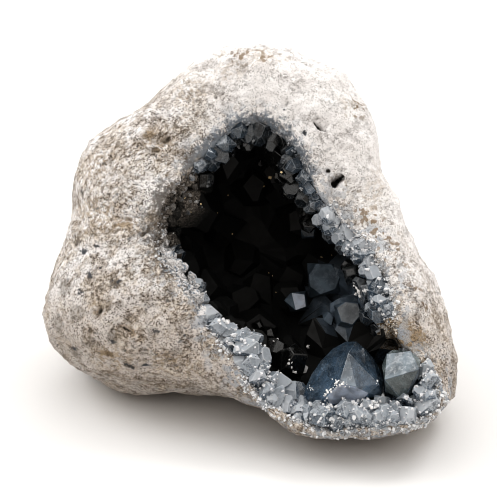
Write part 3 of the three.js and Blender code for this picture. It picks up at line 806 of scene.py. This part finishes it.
# Blocks that show one by one: x, y and depth of the tip, width, how pale, which is partly frost
# and partly painted light and shade.
BLOCKS = [
    (-1.5, 41.7, -8, 5.5, 0.15), (-4.4, 44.2, -6, 4, 0.2), (-7.7, 42, -7, 3.5, 0.2),
    (2.6, 39.1, -10, 3.5, 0.1), (6.3, 39.4, -8, 6, 0.15), (6.6, 33.2, -11, 8, 0.2),
    (2.6, 32.4, -10, 2.6, 0.5), (12.5, 29.5, -9, 6.5, 0.3), (14.4, 23.6, -9, 8, 0.35),
    (17.7, 18.4, -7, 6, 0.3), (15.5, 33.2, -3, 4, 0.3), (20.3, 26.5, -1, 4, 0.4),
    (-10, 37.6, -6, 5.5, 0.3), (-7.7, 33.9, -9, 5, 0.2), (-12.2, 33.9, -8, 5, 0.3),
    (-15.5, 31.7, -7, 5, 0.25), (-18.8, 31, -6, 3.5, 0.2), (-30.2, 6.5, -8, 5, 0.1),
    (-31, 10.5, -7, 4, 0.1), (-29, 13, -8, 4, 0.1), (-31.3, 3.4, -4, 4.5, 0.15),
    (-29.1, 1.5, -6, 5, 0.1), (-26.9, -0.7, -6, 4, 0.15), (-32, -2.2, 3, 3, 0.6),
    (-28.4, -5.2, 2, 3.4, 0.7), (-25.4, -5.9, 0, 3.5, 0.5), (-23.2, -9.2, 2, 3.4, 0.7),
    (-21, -12.5, 2, 3.6, 0.6), (-21.4, -16.2, 6, 3, 0.6), (-19.2, -18.4, 5, 4, 0.35),
    (-17.7, -21.7, 6, 3.5, 0.4), (-15.1, -25.1, 9, 4, 0.5), (-12.2, -27.3, 11, 4.5, 0.9),
    (-8.8, -29.5, 10, 4.5, 0.5), (-6.3, -32.4, 12, 4.5, 0.5), (-2.9, -31, 10, 4, 0.4),
    (1.1, -28.4, 7, 3.5, 0.45), (1.8, -32.4, 10, 6.5, 0.55), (4.8, -31.3, 7, 4.5, 0.4),
    (-0.4, -36.9, 15, 6, 0.75), (3.3, -37.6, 14, 6.5, 0.7), (-4.1, -36.1, 14, 4.5, 0.6),
    (-1.1, -41.3, 17, 5, 0.75), (6.3, -36.1, 8, 5, 0.3), (3.3, -44.2, 16, 5, 0.4),
    (6.6, -47.9, 15, 6, 0.5), (11.8, -47.9, 12, 6, 0.75), (9.2, -52.3, 17, 5, 0.6),
    (12.9, -50.9, 12, 4.5, 0.6), (4.8, -51.6, 19, 4, 0.5), (15.5, -50.9, 6, 4, 0.2),
    (12.9, -37.6, 0, 8, 0.15), (19.5, -59.7, 18, 4.5, 0.5), (23.2, -58.2, 18, 5, 0.45),
    (25.8, -61.9, 22, 8, 0.3), (29.5, -64.1, 24, 5, 0.35), (33.2, -59, 24, 6, 0.55),
    (36.9, -61.2, 25, 7, 0.6), (41.7, -58.2, 22, 6, 0.6), (40.5, -61.9, 25, 5, 0.7),
    (45.3, -56, 20, 4, 0.8), (47.9, -59.7, 24, 5, 0.6), (45.3, -61.9, 25, 5, 0.75),
    (51.6, -58.2, 22, 4.5, 0.7), (50.9, -61.9, 26, 4, 0.8), (56.4, -55.3, 22, 5, 0.7),
    (60.8, -52.3, 23, 5, 0.75), (63.8, -47.9, 23, 5, 0.8), (62.7, -43.5, 21, 4.5, 0.85),
    (64.5, -53.4, 25, 4, 0.8), (18.4, 12.9, -4, 3.5, 0.5), (23.2, 10.3, -3, 4, 0.6),
    (27.6, 8.1, 0, 5, 0.7), (30.6, 3.7, 1, 5, 0.7), (33.2, -0.7, 2, 5, 0.6),
    (36.1, -4.4, 3, 4.5, 0.65), (39.4, -8.1, 4, 4.5, 0.7), (43.1, -9.2, 7, 4.5, 0.8),
    (46.1, -12.5, 8, 4.5, 0.8), (46.1, -18.4, 8, 6.5, 0.15), (49.8, -22.1, 11, 6, 0.2),
    (45.3, -24, 8, 6.5, 0.1), (41.7, -25.1, 2, 6, 0.1), (44.2, -29.5, 5, 5, 0.1),
    (19.5, 6.6, -10, 5.5, 0.3), (27.5, 4.5, -7, 5.5, 0.5), (30.5, -0.5, -6, 5.5, 0.45),
    (32.5, -5, -5, 5, 0.6), (35.5, -9, -3, 5.5, 0.5), (38.5, -12.5, -2, 5.5, 0.5),
    (41.5, -15, 1, 5.5, 0.5), (43, -21.5, 5, 5.5, 0.6), (45.5, -15.5, 6, 5, 0.7),
    (47.5, -19.5, 10, 4, 0.8), (24.5, 8.5, -6, 4.5, 0.5), (33.5, 1.5, 1, 4, 0.9),
    (36.5, -2, 3, 4, 0.9), (40, -5.5, 5, 4, 0.9), (43.5, -12, 5, 4.5, 0.85),
    (20.5, 15.5, -6, 5, 0.4), (12, 21, -14, 6, 0.25), (9.5, 27, -14, 5.5, 0.2),
    (-3, 38.5, -11, 5, 0.1),
]
BLOCK_SWELL = 1.15  # of their widths and lengths, so that they grow into each other
SUNK_REACH = 0.5  # widths that a block reaches out where its tip is under the crust's surface
ADDED_REACH = 0.35  # widths added to the reach of each
TOO_FAR, PUT_BACK = 1.5, 0.8  # widths: a longer reach hangs in the air, and gets the second one
LONGEST = 1.35  # widths

RIM_BAND = ((20.0, 8.0), (0.0, 2.5))  # mm below the rim where the band thins out at each edge
BED_LEVEL = (6.8, 5.2)  # mm from the rock, where the crust's crystals end and its bed begins
RIM_TRIES = 14000  # places tried for the crystals of the band
RIM_WIDTHS = (1.3, 5.7, 2.4)  # mm: the least, what is added at most, and how rare that is
GRIT_WIDTH = 2.4  # mm, the widest of them in the grit
DRUSE_TRIES = {"crust": 27000, "rock": 180000, "rim_blocks": 4500, "rim_crystals": 5000}
DRUSE_WIDTHS = (0.45, 0.9, 2)  # the same for the druse

rng = np.random.default_rng(7)


def form(planes, wear):
    """One crystal form: a block on the origin along z, cut flat by the planes, with worn edges."""
    bpy.ops.mesh.primitive_cube_add(size=1.0, location=(0, 0, 0))
    piece = bpy.context.active_object
    flat = [Vector(direction).normalized() for direction, _ in planes]
    cut = {"use_fill": True, "clear_outer": True}
    steps = [
        (bpy.ops.mesh.bisect, {"plane_co": normal * reach, "plane_no": normal, **cut})
        for normal, (_, reach) in zip(flat, planes)
    ]
    if wear:
        steps.append((bpy.ops.mesh.bevel, {"offset": wear, "segments": 1, "affect": "EDGES"}))
    edited(piece, *steps)
    flat += [Vector(side) * way for side in ((1, 0, 0), (0, 1, 0), (0, 0, 1)) for way in (1, -1)]
    worn = [max(f.normal.dot(way) for way in flat) < 0.999 for f in piece.data.polygons]
    shape = points_of(piece.data), [tuple(f.vertices) for f in piece.data.polygons], worn
    bpy.data.objects.remove(piece)
    return shape


plain_forms, worn_forms = ([form(planes, wear) for planes in FORM_FACES.values()] for wear in (0, WEAR))


def scattered(mesh, count, chance):
    """Points spread evenly over a mesh, kept by the chance of their place, with their normals."""
    mesh.calc_loop_triangles()
    corners = np.array([t.vertices for t in mesh.loop_triangles])
    normals = np.array([t.normal for t in mesh.loop_triangles])
    areas = np.array([t.area for t in mesh.loop_triangles])
    chosen = rng.choice(len(areas), count, p=areas / areas.sum())
    share = np.sort(rng.random((count, 2)), axis=1)
    weights = np.stack([share[:, 0], share[:, 1] - share[:, 0], 1 - share[:, 1]], axis=1)
    points = np.einsum("nc,ncx->nx", weights, points_of(mesh)[corners[chosen]])
    kept = rng.random(count) < chance(points, normals[chosen])
    return points[kept], normals[chosen][kept]


def spaced(points, sizes, share):
    """The places of the points that stand clear of the earlier ones."""
    kept, cell_of = [], {}
    reach = sizes.max() * share
    for i, p in enumerate(points):
        x, y, z = (p // reach).astype(int)
        around = [(x + a, y + b, z + c) for a in (-1, 0, 1) for b in (-1, 0, 1) for c in (-1, 0, 1)]
        near = [j for cell in around for j in cell_of.get(cell, ())]
        if all(((points[j] - p) ** 2).sum() > (share * (sizes[i] + sizes[j]) / 2) ** 2 for j in near):
            kept.append(i)
            cell_of.setdefault((x, y, z), []).append(i)
    return np.array(kept)


def planted(name, forms, points, growth, widths, lengths, pale, sunk=0.15, fading=1.0):
    """Crystals on these points that grow that way, each turned its own way, as one piece."""
    count = len(points)
    up = growth / np.linalg.norm(growth, axis=1)[:, None]
    side = np.cross(up, rng.normal(size=(count, 3)))
    side /= np.linalg.norm(side, axis=1)[:, None]
    turn = np.stack([side, np.cross(up, side), up], axis=2)
    across = [widths * rng.uniform(0.8, 1.1, count) for _ in range(2)]
    stretch = np.stack([*across, lengths], axis=1)
    kinds = rng.integers(len(forms), size=count)
    all_points, all_faces, owner, is_worn = [], [], [], []
    start = 0
    for i in range(count):
        corners, faces, worn = forms[kinds[i]]
        moved = (corners + (0, 0, 0.5 - sunk)) * stretch[i]
        all_points.append(moved @ turn[i].T + points[i])
        all_faces += [tuple(start + v for v in f) for f in faces]
        owner += [i] * len(corners)
        is_worn += worn
        start += len(corners)
    mesh = bpy.data.meshes.new(name)
    mesh.from_pydata(np.concatenate(all_points).tolist(), [], all_faces)
    put_sorts(mesh, is_worn)
    mesh.update()
    owner = np.array(owner)
    remember(mesh, "pale", pale[owner])
    # deep is painted shade: it darkens the crystals deep in the hollow by fading, and the clearer ones a
    # random share more.
    clearness = rng.uniform(0.0, 0.3, count) * (1.0 - pale)
    deep = fading * np.clip(deepness_of_all(points) + clearness, 0.0, 1.0)
    remember(mesh, "deep", deep[owner])
    return new_piece(name, mesh)


def into_hollow(points, normals):
    """How far outward normals turn towards the middle of the hollow."""
    towards = np.array(HEART) - points
    return (normals * towards).sum(1) / np.linalg.norm(towards, axis=1)


def on_bed(points):
    """1 on the crust's bed and 0 on the crystals that stand out of it."""
    return smooth_step(distance_to(rock_wall, points) / MM, *BED_LEVEL)


def by_rim(points, normals):
    """Thick in the band below the rim, and none under the block beside the great crystal."""
    straight = seen_straight(points)
    depth = below_rim(straight)
    x, y, reach = BLOCK_BESIDE
    near = smooth_step(depth, *RIM_BAND[0]) * smooth_step(depth, *RIM_BAND[1])
    near = near * (np.hypot(straight[:, 0] - x, straight[:, 1] - y) > reach)
    return near * (into_hollow(points, normals) > -0.3) * on_bed(points)


def frost_and_painted_light(points):
    """Clear and dark at the upper left of the mouth, frosted and pale at its lower right: partly
    frost, partly painted light on the side where the light falls.
    """
    straight = seen_straight(points)
    side = smooth_step(0.8 * straight[:, 0] - straight[:, 1], -15.0, 30.0)
    side = side * (0.3 + 0.7 * smooth_step(below_rim(straight), 13.0, 3.0))
    left_lip = 0.8 * close_to(straight, *LEFT_LIP)
    uneven = rng.uniform(-0.25, 0.25, len(points))
    return np.clip(0.12 + 0.8 * side + left_lip + uneven, 0.0, 0.9)


def druse_chance(points, normals):
    """Thick on the crust by the rim, thinning out over the edge of the rock."""
    straight = seen_straight(points)
    to_crust = distance_to(crust_wall, points) / MM
    pale = np.maximum(frost_and_painted_light(points), 0.7 * close_to(straight, *TOP))
    chance = smooth_step(to_crust, 2.0 + 4.0 * pale, 0.0) * on_bed(points) * pale
    chance = np.where(gritty(straight) & (to_crust < 3.0), 1.0, 0.6 * chance)
    return chance * smooth_step(below_rim(straight), 12.0, 4.0)


def dusting_chance(points, normals):
    """Grains of druse that grew on the small crystals, most on the pale ones that face up."""
    near = smooth_step(below_rim(seen_straight(points)), 16.0, 8.0)
    return frost_and_painted_light(points) ** 2 * near * (0.6 + 0.4 * normals[:, 2])


def first_met(x, y, *walls):
    """Where a line of sight first meets one of these surfaces, and its normal there."""
    onward = (place_of(x, y, 0) - EYE).normalized()
    met = [wall.ray_cast(EYE, onward) for wall in walls]
    nearest = min((m for m in met if m[0]), key=lambda m: m[3])
    return nearest[0], nearest[1]


def widths_of(count, least, more, rarity):
    return (least + more * rng.random(count) ** rarity) * MM


def sown(name, forms, spots, normals, sizes, apart, sway, stretch, sunk):
    """Crystals on the spots that stand apart, which grow outwards with some sway, as one piece."""
    kept = spaced(spots, sizes, apart)
    spots, normals, sizes = spots[kept], normals[kept], sizes[kept]
    growth = normals + rng.normal(size=(len(kept), 3)) * sway
    lengths = sizes * rng.uniform(*stretch, len(kept))
    return planted(name, forms, spots, growth, sizes, lengths, frost_and_painted_light(spots), sunk)


tips = np.array([place_of(*block[:3]) for block in BLOCKS])
widths = np.array([block[3] for block in BLOCKS]) * BLOCK_SWELL * MM
pale = np.array([block[4] for block in BLOCKS])
feet, outward = (np.array([crust_wall.find_nearest(tip)[i] for tip in tips]) for i in (0, 1))
growth = tips - feet
inside = (growth * outward).sum(1) < 0  # a tip that would end under the crust's surface
growth[inside] = outward[inside] * widths[inside][:, None] * SUNK_REACH
growth += outward * widths[:, None] * ADDED_REACH
for i in np.nonzero(np.linalg.norm(growth, axis=1) > TOO_FAR * widths)[0]:
    foot, way = first_met(*BLOCKS[i][:2], crust_wall, rock_wall)
    feet[i], growth[i] = foot, np.array(way) * widths[i] * PUT_BACK
lengths = np.linalg.norm(growth, axis=1) * BLOCK_SWELL + 0.2 * widths
lengths = np.minimum(lengths, LONGEST * widths)
rim_blocks = planted("rim_blocks", worn_forms, feet, growth, widths, lengths, pale)

crust_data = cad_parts["crystal_crust"].data
spots, normals = scattered(crust_data, RIM_TRIES, by_rim)
sizes = widths_of(len(spots), *RIM_WIDTHS)
sizes = np.where(gritty(seen_straight(spots)), np.minimum(sizes, GRIT_WIDTH * MM), sizes)
order = np.argsort(-sizes)
rim_crystals = sown(
    "rim_crystals", worn_forms, spots[order], normals[order], sizes[order],
    apart=0.45, sway=0.5, stretch=(0.7, 1.4), sunk=0.4,
)

grounds = [
    scattered(crust_data, DRUSE_TRIES["crust"], druse_chance),
    scattered(rock.data, DRUSE_TRIES["rock"], druse_chance),
    scattered(rim_blocks.data, DRUSE_TRIES["rim_blocks"], dusting_chance),
    scattered(rim_crystals.data, DRUSE_TRIES["rim_crystals"], dusting_chance),
]
spots, normals = (np.concatenate(part) for part in zip(*grounds))
order = rng.permutation(len(spots))
sizes = widths_of(len(spots), *DRUSE_WIDTHS)
druse = sown(
    "druse", plain_forms, spots[order], normals[order], sizes,
    apart=0.65, sway=0.6, stretch=(0.9, 1.6), sunk=0.25,
)

worn_edge = crystal("worn edge", (0.22, 0.27, 0.33), (0.74, 0.78, 0.82), (0.35, 0.6), 0.4)
for piece, name, clear, veil, transmission in (
    (rim_blocks, "blue celestite", (0.125, 0.18, 0.245), (0.80, 0.87, 0.95), 0.65),
    (rim_crystals, "milky celestite", (0.135, 0.185, 0.245), (0.84, 0.89, 0.95), 0.55),
    (druse, "fine druse", (0.38, 0.41, 0.45), (0.93, 0.94, 0.955), 0.25),
):
    finishes = [crystal(name, clear, veil, (0.1, 0.45), transmission), worn_edge, overgrown]
    for material in finishes:
        piece.data.materials.append(material)
    straight = seen_straight(np.array([f.center for f in piece.data.polygons]))
    sort = np.array([f.material_index for f in piece.data.polygons])
    sort[gritty(straight)] = finishes.index(overgrown)
    put_sorts(piece.data, sort)
    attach(piece, "root")

# The great crystal
# The largest crystal of the crust stands in the mouth's lower right, with a squat block beside
# it and a few more in the dark behind them. All are celestite that grew out of the crust, with
# worn edges, and their corners are laid out as seen straight into the mouth: x, y and depth.
ONE_FACE = math.radians(7)  # faces that differ by less than this become one
FULL_WEAR, SLIGHT_WEAR, CHIP_WEAR = 0.15, 0.12, 0.1  # mm, the width of a worn edge
# The great crystal's upper part turns half dark with a painted reflection of the dark hollow.
DARK_REFLECTION = (-47, -35)  # mm, the heights between which the great crystal turns half dark


def cut_stone(name, corners, sorts, edge, wear, level=0.0, dark_reflection=None):
    """A crystal with these corners, whose flat faces take the material of the spots on them."""
    mesh = bpy.data.meshes.new(name)
    mesh.from_pydata([place_of(x, y, z + level) for x, y, z in corners], [], [])
    piece = new_piece(name, mesh)
    merging = {"angle_limit": ONE_FACE}
    edited(piece, (bpy.ops.mesh.convex_hull, {}), (bpy.ops.mesh.dissolve_limited, merging))
    for number, (material, spots) in enumerate(sorts):
        mesh.materials.append(material)
        for x, y in spots:
            onward = (place_of(x, y, 0) - EYE).normalized()
            face = surface_of(mesh).ray_cast(EYE, onward)[2]
            mesh.polygons[face].material_index = number
    mesh.materials.append(edge)
    shaped(piece, "BEVEL", width=wear * MM, segments=1, limit_method="ANGLE", material=len(sorts))
    remember(mesh, "pale", np.full(len(mesh.vertices), 0.1))
    # A painted reflection of the dark hollow, half dark over the upper part of the crystal.
    if dark_reflection:
        remember(mesh, "deep", 0.5 * smooth_step(seen_straight(points_of(mesh))[:, 1], *dark_reflection))
    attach(piece, "root")
    return piece


# Copies of the celestite for single faces, each chosen for how lit or shaded that face looks, so they carry
# painted light and shade over the real veils, etching and frost: the paler veiled, etched and frosted faces
# are partly painted light, the etched one also a painted reflection, the dim face is painted shade, and the
# grey one a painted highlight.
clear_face = crystal("clear face", (0.18, 0.28, 0.40), (0.46, 0.57, 0.69), (0.03, 0.2), 0.75)
veiled_face = crystal("veiled face", (0.30, 0.36, 0.42), (0.50, 0.55, 0.60), (0.15, 0.35), 0.5)
etched_and_highlit_face = crystal("etched and highlit face", (0.43, 0.49, 0.60), (0.58, 0.62, 0.70), (0.35, 0.5), 0.4)
dark_face = crystal("dark face", (0.13, 0.165, 0.17), (0.30, 0.34, 0.35), (0.1, 0.3), 0.5)
frosted_face = crystal("frosted face", (0.20, 0.25, 0.29), (0.66, 0.70, 0.74), (0.3, 0.5), 0.3)
dim_face = crystal("dim face", (0.07, 0.095, 0.12), (0.125, 0.155, 0.19), (0.4, 0.6), 0.1, 0.1)
highlit_grey_face = crystal("highlit grey face", (0.10, 0.11, 0.12), (0.17, 0.18, 0.19), (0.3, 0.5), 0.1, 0.2)
fine_edge = crystal("fine edge", (0.24, 0.31, 0.39), (0.62, 0.70, 0.78), (0.2, 0.4), 0.6)

great_corners = [
    (34.3, -38, 24), (37.4, -41, 24.5), (31, -48.9, 27.5), (37.2, -50.5, 28.5),  # the front
    (45.5, -49.5, 22.5), (33.2, -33.9, 13), (37.2, -33.8, 13), (40.2, -36.2, 11), (43.3, -39.6, 10),
    (45.7, -44, 10), (47.2, -49, 13), (46.8, -53.2, 17), (28.4, -36.5, 12), (24.2, -41, 11),
    (20.8, -45.8, 9), (18.6, -50.5, 8), (17.3, -55, 8), (20.6, -57.6, 11), (27.6, -59.3, 14),
    (26.2, -54.2, 21.5), (27.6, -56.8, 20.5), (39.1, -55.7, 21.5), (41.7, -52.7, 24),  # the lower face
    (34, -36, -4), (44, -46, -2), (22, -46, -4), (24, -56, 0), (42, -54, 4),  # its foot in the crust
]
great_faces = [
    (clear_face, []), (veiled_face, [(34.2, -46)]),
    (etched_and_highlit_face, [(33.5, -53.5), (28, -54), (39.5, -53), (29.5, -52)]),
]
great = cut_stone("great_crystal", great_corners, great_faces, fine_edge, SLIGHT_WEAR, dark_reflection=DARK_REFLECTION)

block_corners = [
    (47.6, -47.8, 23.5), (60.3, -44, 24.5), (46.5, -42.5, 17), (48.3, -38.3, 15), (50.5, -36.8, 15),
    (57.1, -37.3, 20.5), (60.8, -40.5, 21), (59.9, -47, 22), (57.8, -52.4, 18), (55.6, -53.2, 20.5),
    (53.4, -54.8, 20), (47.8, -52.2, 19.5), (49, -40, 2), (58, -40, 8), (57, -51, 8), (49, -51, 6),
]
block_faces = [
    (dark_face, []), (frosted_face, [(53, -42), (57, -41), (49.5, -41.5)]),
    (veiled_face, [(59, -47.5)]),
]
cut_stone("block_beside", block_corners, block_faces, fine_edge, SLIGHT_WEAR)

# Crystals in the dark, each raised from where its middle meets the crust: middle, corners, the
# material of most faces, which is painted shade, and of the one that catches the light, a painted
# highlight on three of them, and a spot on that one.
IN_THE_DARK = [
    ("lit_crystal", (14.8, -19), [
        (10.7, -18.8, 3), (13.4, -15.8, 4), (18.2, -16.4, 4), (18.8, -21, 5), (15, -22.4, 5),
        (11.5, -17, -5), (19, -15, -7), (20.5, -22.5, -6), (13, -23, -5),
    ], dim_face, etched_and_highlit_face, (14.6, -18.2)),
    ("grey_crystal", (34.5, -23), [
        (30, -21.4, 3.7), (33.2, -19.2, 3), (37.8, -19.8, 3.2), (39, -23.8, 4.6), (35.8, -27.6, 6),
        (31.6, -26.4, 5.5), (28.8, -20.5, -6), (39.5, -18.5, -7), (41.5, -26, -4), (36, -30.5, 0),
        (30, -28.5, -3),
    ], dim_face, highlit_grey_face, (34.5, -23)),
    ("blue_crystal", (25.3, -11.5), [
        (19.8, -9.5, 3.2), (22.5, -5.2, 2.2), (28, -5.4, 2.2), (31.2, -10, 3.4), (29.5, -14.5, 4.4),
        (24, -16.5, 4.8), (20.2, -13.5, 4.1), (19, -5, -8), (32, -5, -8), (33, -16, -6),
        (20, -18, -8),
    ], dim_face, dim_face, (25, -11)),
    ("slab_crystal", (19.8, 7.2), [
        (16.8, 6.6, 3), (18, 9.6, 2.2), (22, 8.6, 2.4), (21.6, 4.8, 3.4), (18, 4.6, 3.5),
        (17, 9, -6), (23, 9, -6), (22, 4, -6), (17, 4, -6),
    ], dim_face, highlit_grey_face, (19.6, 7)),
    ("small_grey_crystal", (27, -25.5), [
        (25, -26, 2.6), (27, -22.8, 1.8), (28.8, -25, 2.4), (28, -28, 3.2), (24.5, -23, -4),
        (30, -23, -4), (29, -29, -4),
    ], dim_face, dim_face, (27.2, -25.5)),
]


def crust_level(x, y):
    """The depth at which a line of sight meets the crust, in mm."""
    return seen_straight(np.array([first_met(x, y, crust_wall)[0]]))[0, 2]


walls = [crust_wall, rock_wall, *(surface_of(p.data) for p in (great, rim_blocks, rim_crystals))]
for name, middle, corners, most, one, spot in IN_THE_DARK:
    sorts = [(most, []), (one, [spot])]
    piece = cut_stone(name, corners, sorts, dim_face, FULL_WEAR, crust_level(*middle))
    walls.append(surface_of(piece.data))

# Chips and glints
# White flecks stick to the great crystal's front edge and lie between the others: partly splinters
# of broken crystal, partly painted highlights of faces that catch the light. Small pale gold flakes
# deep in the hollow are painted glints of faces there. Neither takes the painted shade.
# A white shard beside the great crystal: a painted highlight of a crystal face.
HIGHLIGHT_SHARD = [
    (14.9, -44.3, 1.5), (16.8, -41.3, 1), (18, -42, 2.6), (19.6, -43.2, 1.6), (18.8, -45.4, 2.2),
    (15.6, -45.6, 2), (16, -44, -1.5), (18.5, -43, -1.5),
]
CHIPS_AND_HIGHLIGHTS = [  # x, y and width
    (28.8, -48.3, 1.4), (29.9, -49.4, 1.2), (31, -48.7, 1.5), (32.4, -49, 1.3), (33.2, -49.8, 1),
    (30.2, -50.5, 0.9), (29.1, -51.2, 0.8), (26.9, -52, 1.4), (28, -52.3, 1.2), (26.2, -53.1, 1.3),
    (25.8, -54.2, 1), (26.2, -55.7, 1.1), (25.1, -56.4, 1.2), (26.9, -57.5, 1), (28, -58.2, 1.2),
    (20.3, -50.5, 1), (20.6, -51.6, 1), (44.6, -48.7, 0.9), (46.1, -56, 1.3), (45.3, -56.8, 1.1),
    (42.8, -57.5, 1.6), (43.5, -58.2, 1.2), (27.5, -57, 0.8), (34, -50, 0.8), (13.4, -44.5, 1.6),
    (-10.7, -27.3, 2.6), (-12.5, -27, 1.8), (12.9, -40.9, 1.2), (8.8, -45.3, 1.2), (7, -33.2, 1.3),
    (19.5, -35, 1.6), (37, -15.1, 2.2), (39.8, -16.2, 2), (36.4, -12.9, 0.9), (47.5, -24, 1.2),
]
GLINTS = [
    (-26.2, 19.5, 0.9), (-23.2, 14.4, 0.9), (-19.9, 16.2, 0.6), (-10.3, 19.5, 0.5),
    (-13.6, 13.3, 0.5), (-8.8, 5.9, 0.6), (3.3, 22.5, 0.8), (5.5, 26.5, 1), (9.6, 28.4, 0.7),
    (5.5, -8.5, 1), (6.6, -10, 0.8), (8.1, -15.9, 0.7), (24.7, -3, 0.7), (28.8, -1.9, 0.6),
]

highlight_face = crystal("highlight face", (0.70, 0.69, 0.68), (0.85, 0.84, 0.83), (0.3, 0.5), 0.0)
cut_stone("highlight_shard", HIGHLIGHT_SHARD, [(highlight_face, [])], highlight_face, CHIP_WEAR, crust_level(17.2, -43.8))

for name, marks, splinters, swell, colour in (
    ("chips_and_highlights", CHIPS_AND_HIGHLIGHTS, 3, 1, (0.88, 0.87, 0.86)),
    ("glints", GLINTS, 1, 5 / 3, (0.80, 0.62, 0.36)),
):
    strewn = [
        (x + a * w, y + b * w, w) for x, y, w in marks for a, b in rng.normal(size=(splinters, 2)) * 0.45
    ]
    met = [first_met(x, y, *walls) for x, y, _ in strewn]
    feet, growth = (np.array([m[i] for m in met]) for i in (0, 1))
    growth = growth + rng.normal(size=(len(met), 3)) * 0.6
    widths = np.array([w for _, _, w in strewn]) * MM * rng.uniform(0.35, 0.75, len(met)) * swell
    lengths = widths * rng.uniform(0.3, 0.9, len(met))
    pale = np.ones(len(met))
    piece = planted(name, plain_forms, feet, growth, widths, lengths, pale, fading=0.0)
    piece.data.materials.append(crystal(name, colour, colour, (0.2, 0.4), 0.0))
    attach(piece, "root")

# The stage
# A pale floor that runs on past the picture, a soft light from overhead that grows warmer and
# dimmer towards the ground, and two round soft boxes beside the geode.
FLOOR = 8.0  # metres across
BRIGHTEST = (0.0, 0.1, 0.995)  # overhead, a little behind the geode
SPREAD = (-0.35, 0.9)  # where the light starts and is full, towards the brightest place
GLOW = (0.085, 1.33)  # its strength at both
TINTS = ((1.0, 0.85, 0.72), (1.0, 0.985, 0.965))  # and its colour
SOFT_BOXES = [((0.6, 0.4, 1.0), 0.45, 3.2), ((-1.0, 0.4, 0.8), 0.8, 6.0)]  # place, width, watts
SENSOR = 36.0  # mm, the width of the camera's sensor
PIXELS, PIXEL = 497, 0.3686  # across the picture, and the mm of the geode that one of them shows
OFF_MIDDLE = -6.5  # pixels that the geode stands off the middle of the picture

bpy.ops.mesh.primitive_plane_add(size=FLOOR, location=(0, 0, 0))
floor = bpy.context.active_object
floor.name = "floor"
paper, tree, surface = new_material("pale floor")
surface.inputs["Base Color"].default_value = (0.74, 0.74, 0.74, 1.0)
surface.inputs["Roughness"].default_value = 0.9
floor.data.materials.append(paper)

world = bpy.data.worlds.new("studio")
bpy.context.scene.world = world
world.use_nodes = True
tree = world.node_tree
direction = add(tree, "ShaderNodeTexCoord").outputs["Generated"]
towards = add(
    tree, "ShaderNodeVectorMath", {0: direction, 1: BRIGHTEST}, operation="DOT_PRODUCT"
).outputs["Value"]
light = tree.nodes["Background"].inputs
tree.links.new(ranged(towards, *SPREAD, *GLOW), light["Strength"])
tree.links.new(mixed(ranged(towards, *SPREAD), *TINTS), light["Color"])

for place, width, watts in SOFT_BOXES:
    bpy.ops.object.light_add(type="AREA", location=place)
    lamp = bpy.context.active_object
    lamp.data.shape = "DISK"
    lamp.data.size = width
    lamp.data.energy = watts
    lamp.rotation_euler = (HEART - Vector(place)).to_track_quat("-Z", "Y").to_euler()

bpy.ops.object.camera_add(location=EYE, rotation=(math.pi / 2 - LOOKS_DOWN, 0, 0))
camera = bpy.context.active_object
camera.data.sensor_width = SENSOR
camera.data.lens = SENSOR * AWAY / (PIXELS * PIXEL)
camera.data.shift_x = OFF_MIDDLE / PIXELS

scene = bpy.context.scene
scene.camera = camera
scene.view_settings.view_transform = "Standard"
scene.view_settings.look = "Medium High Contrast"
scene.cycles.filter_width = 1.0
scene.cycles.max_bounces = 24
scene.cycles.transmission_bounces = 24
scene.cycles.transparent_max_bounces = 16
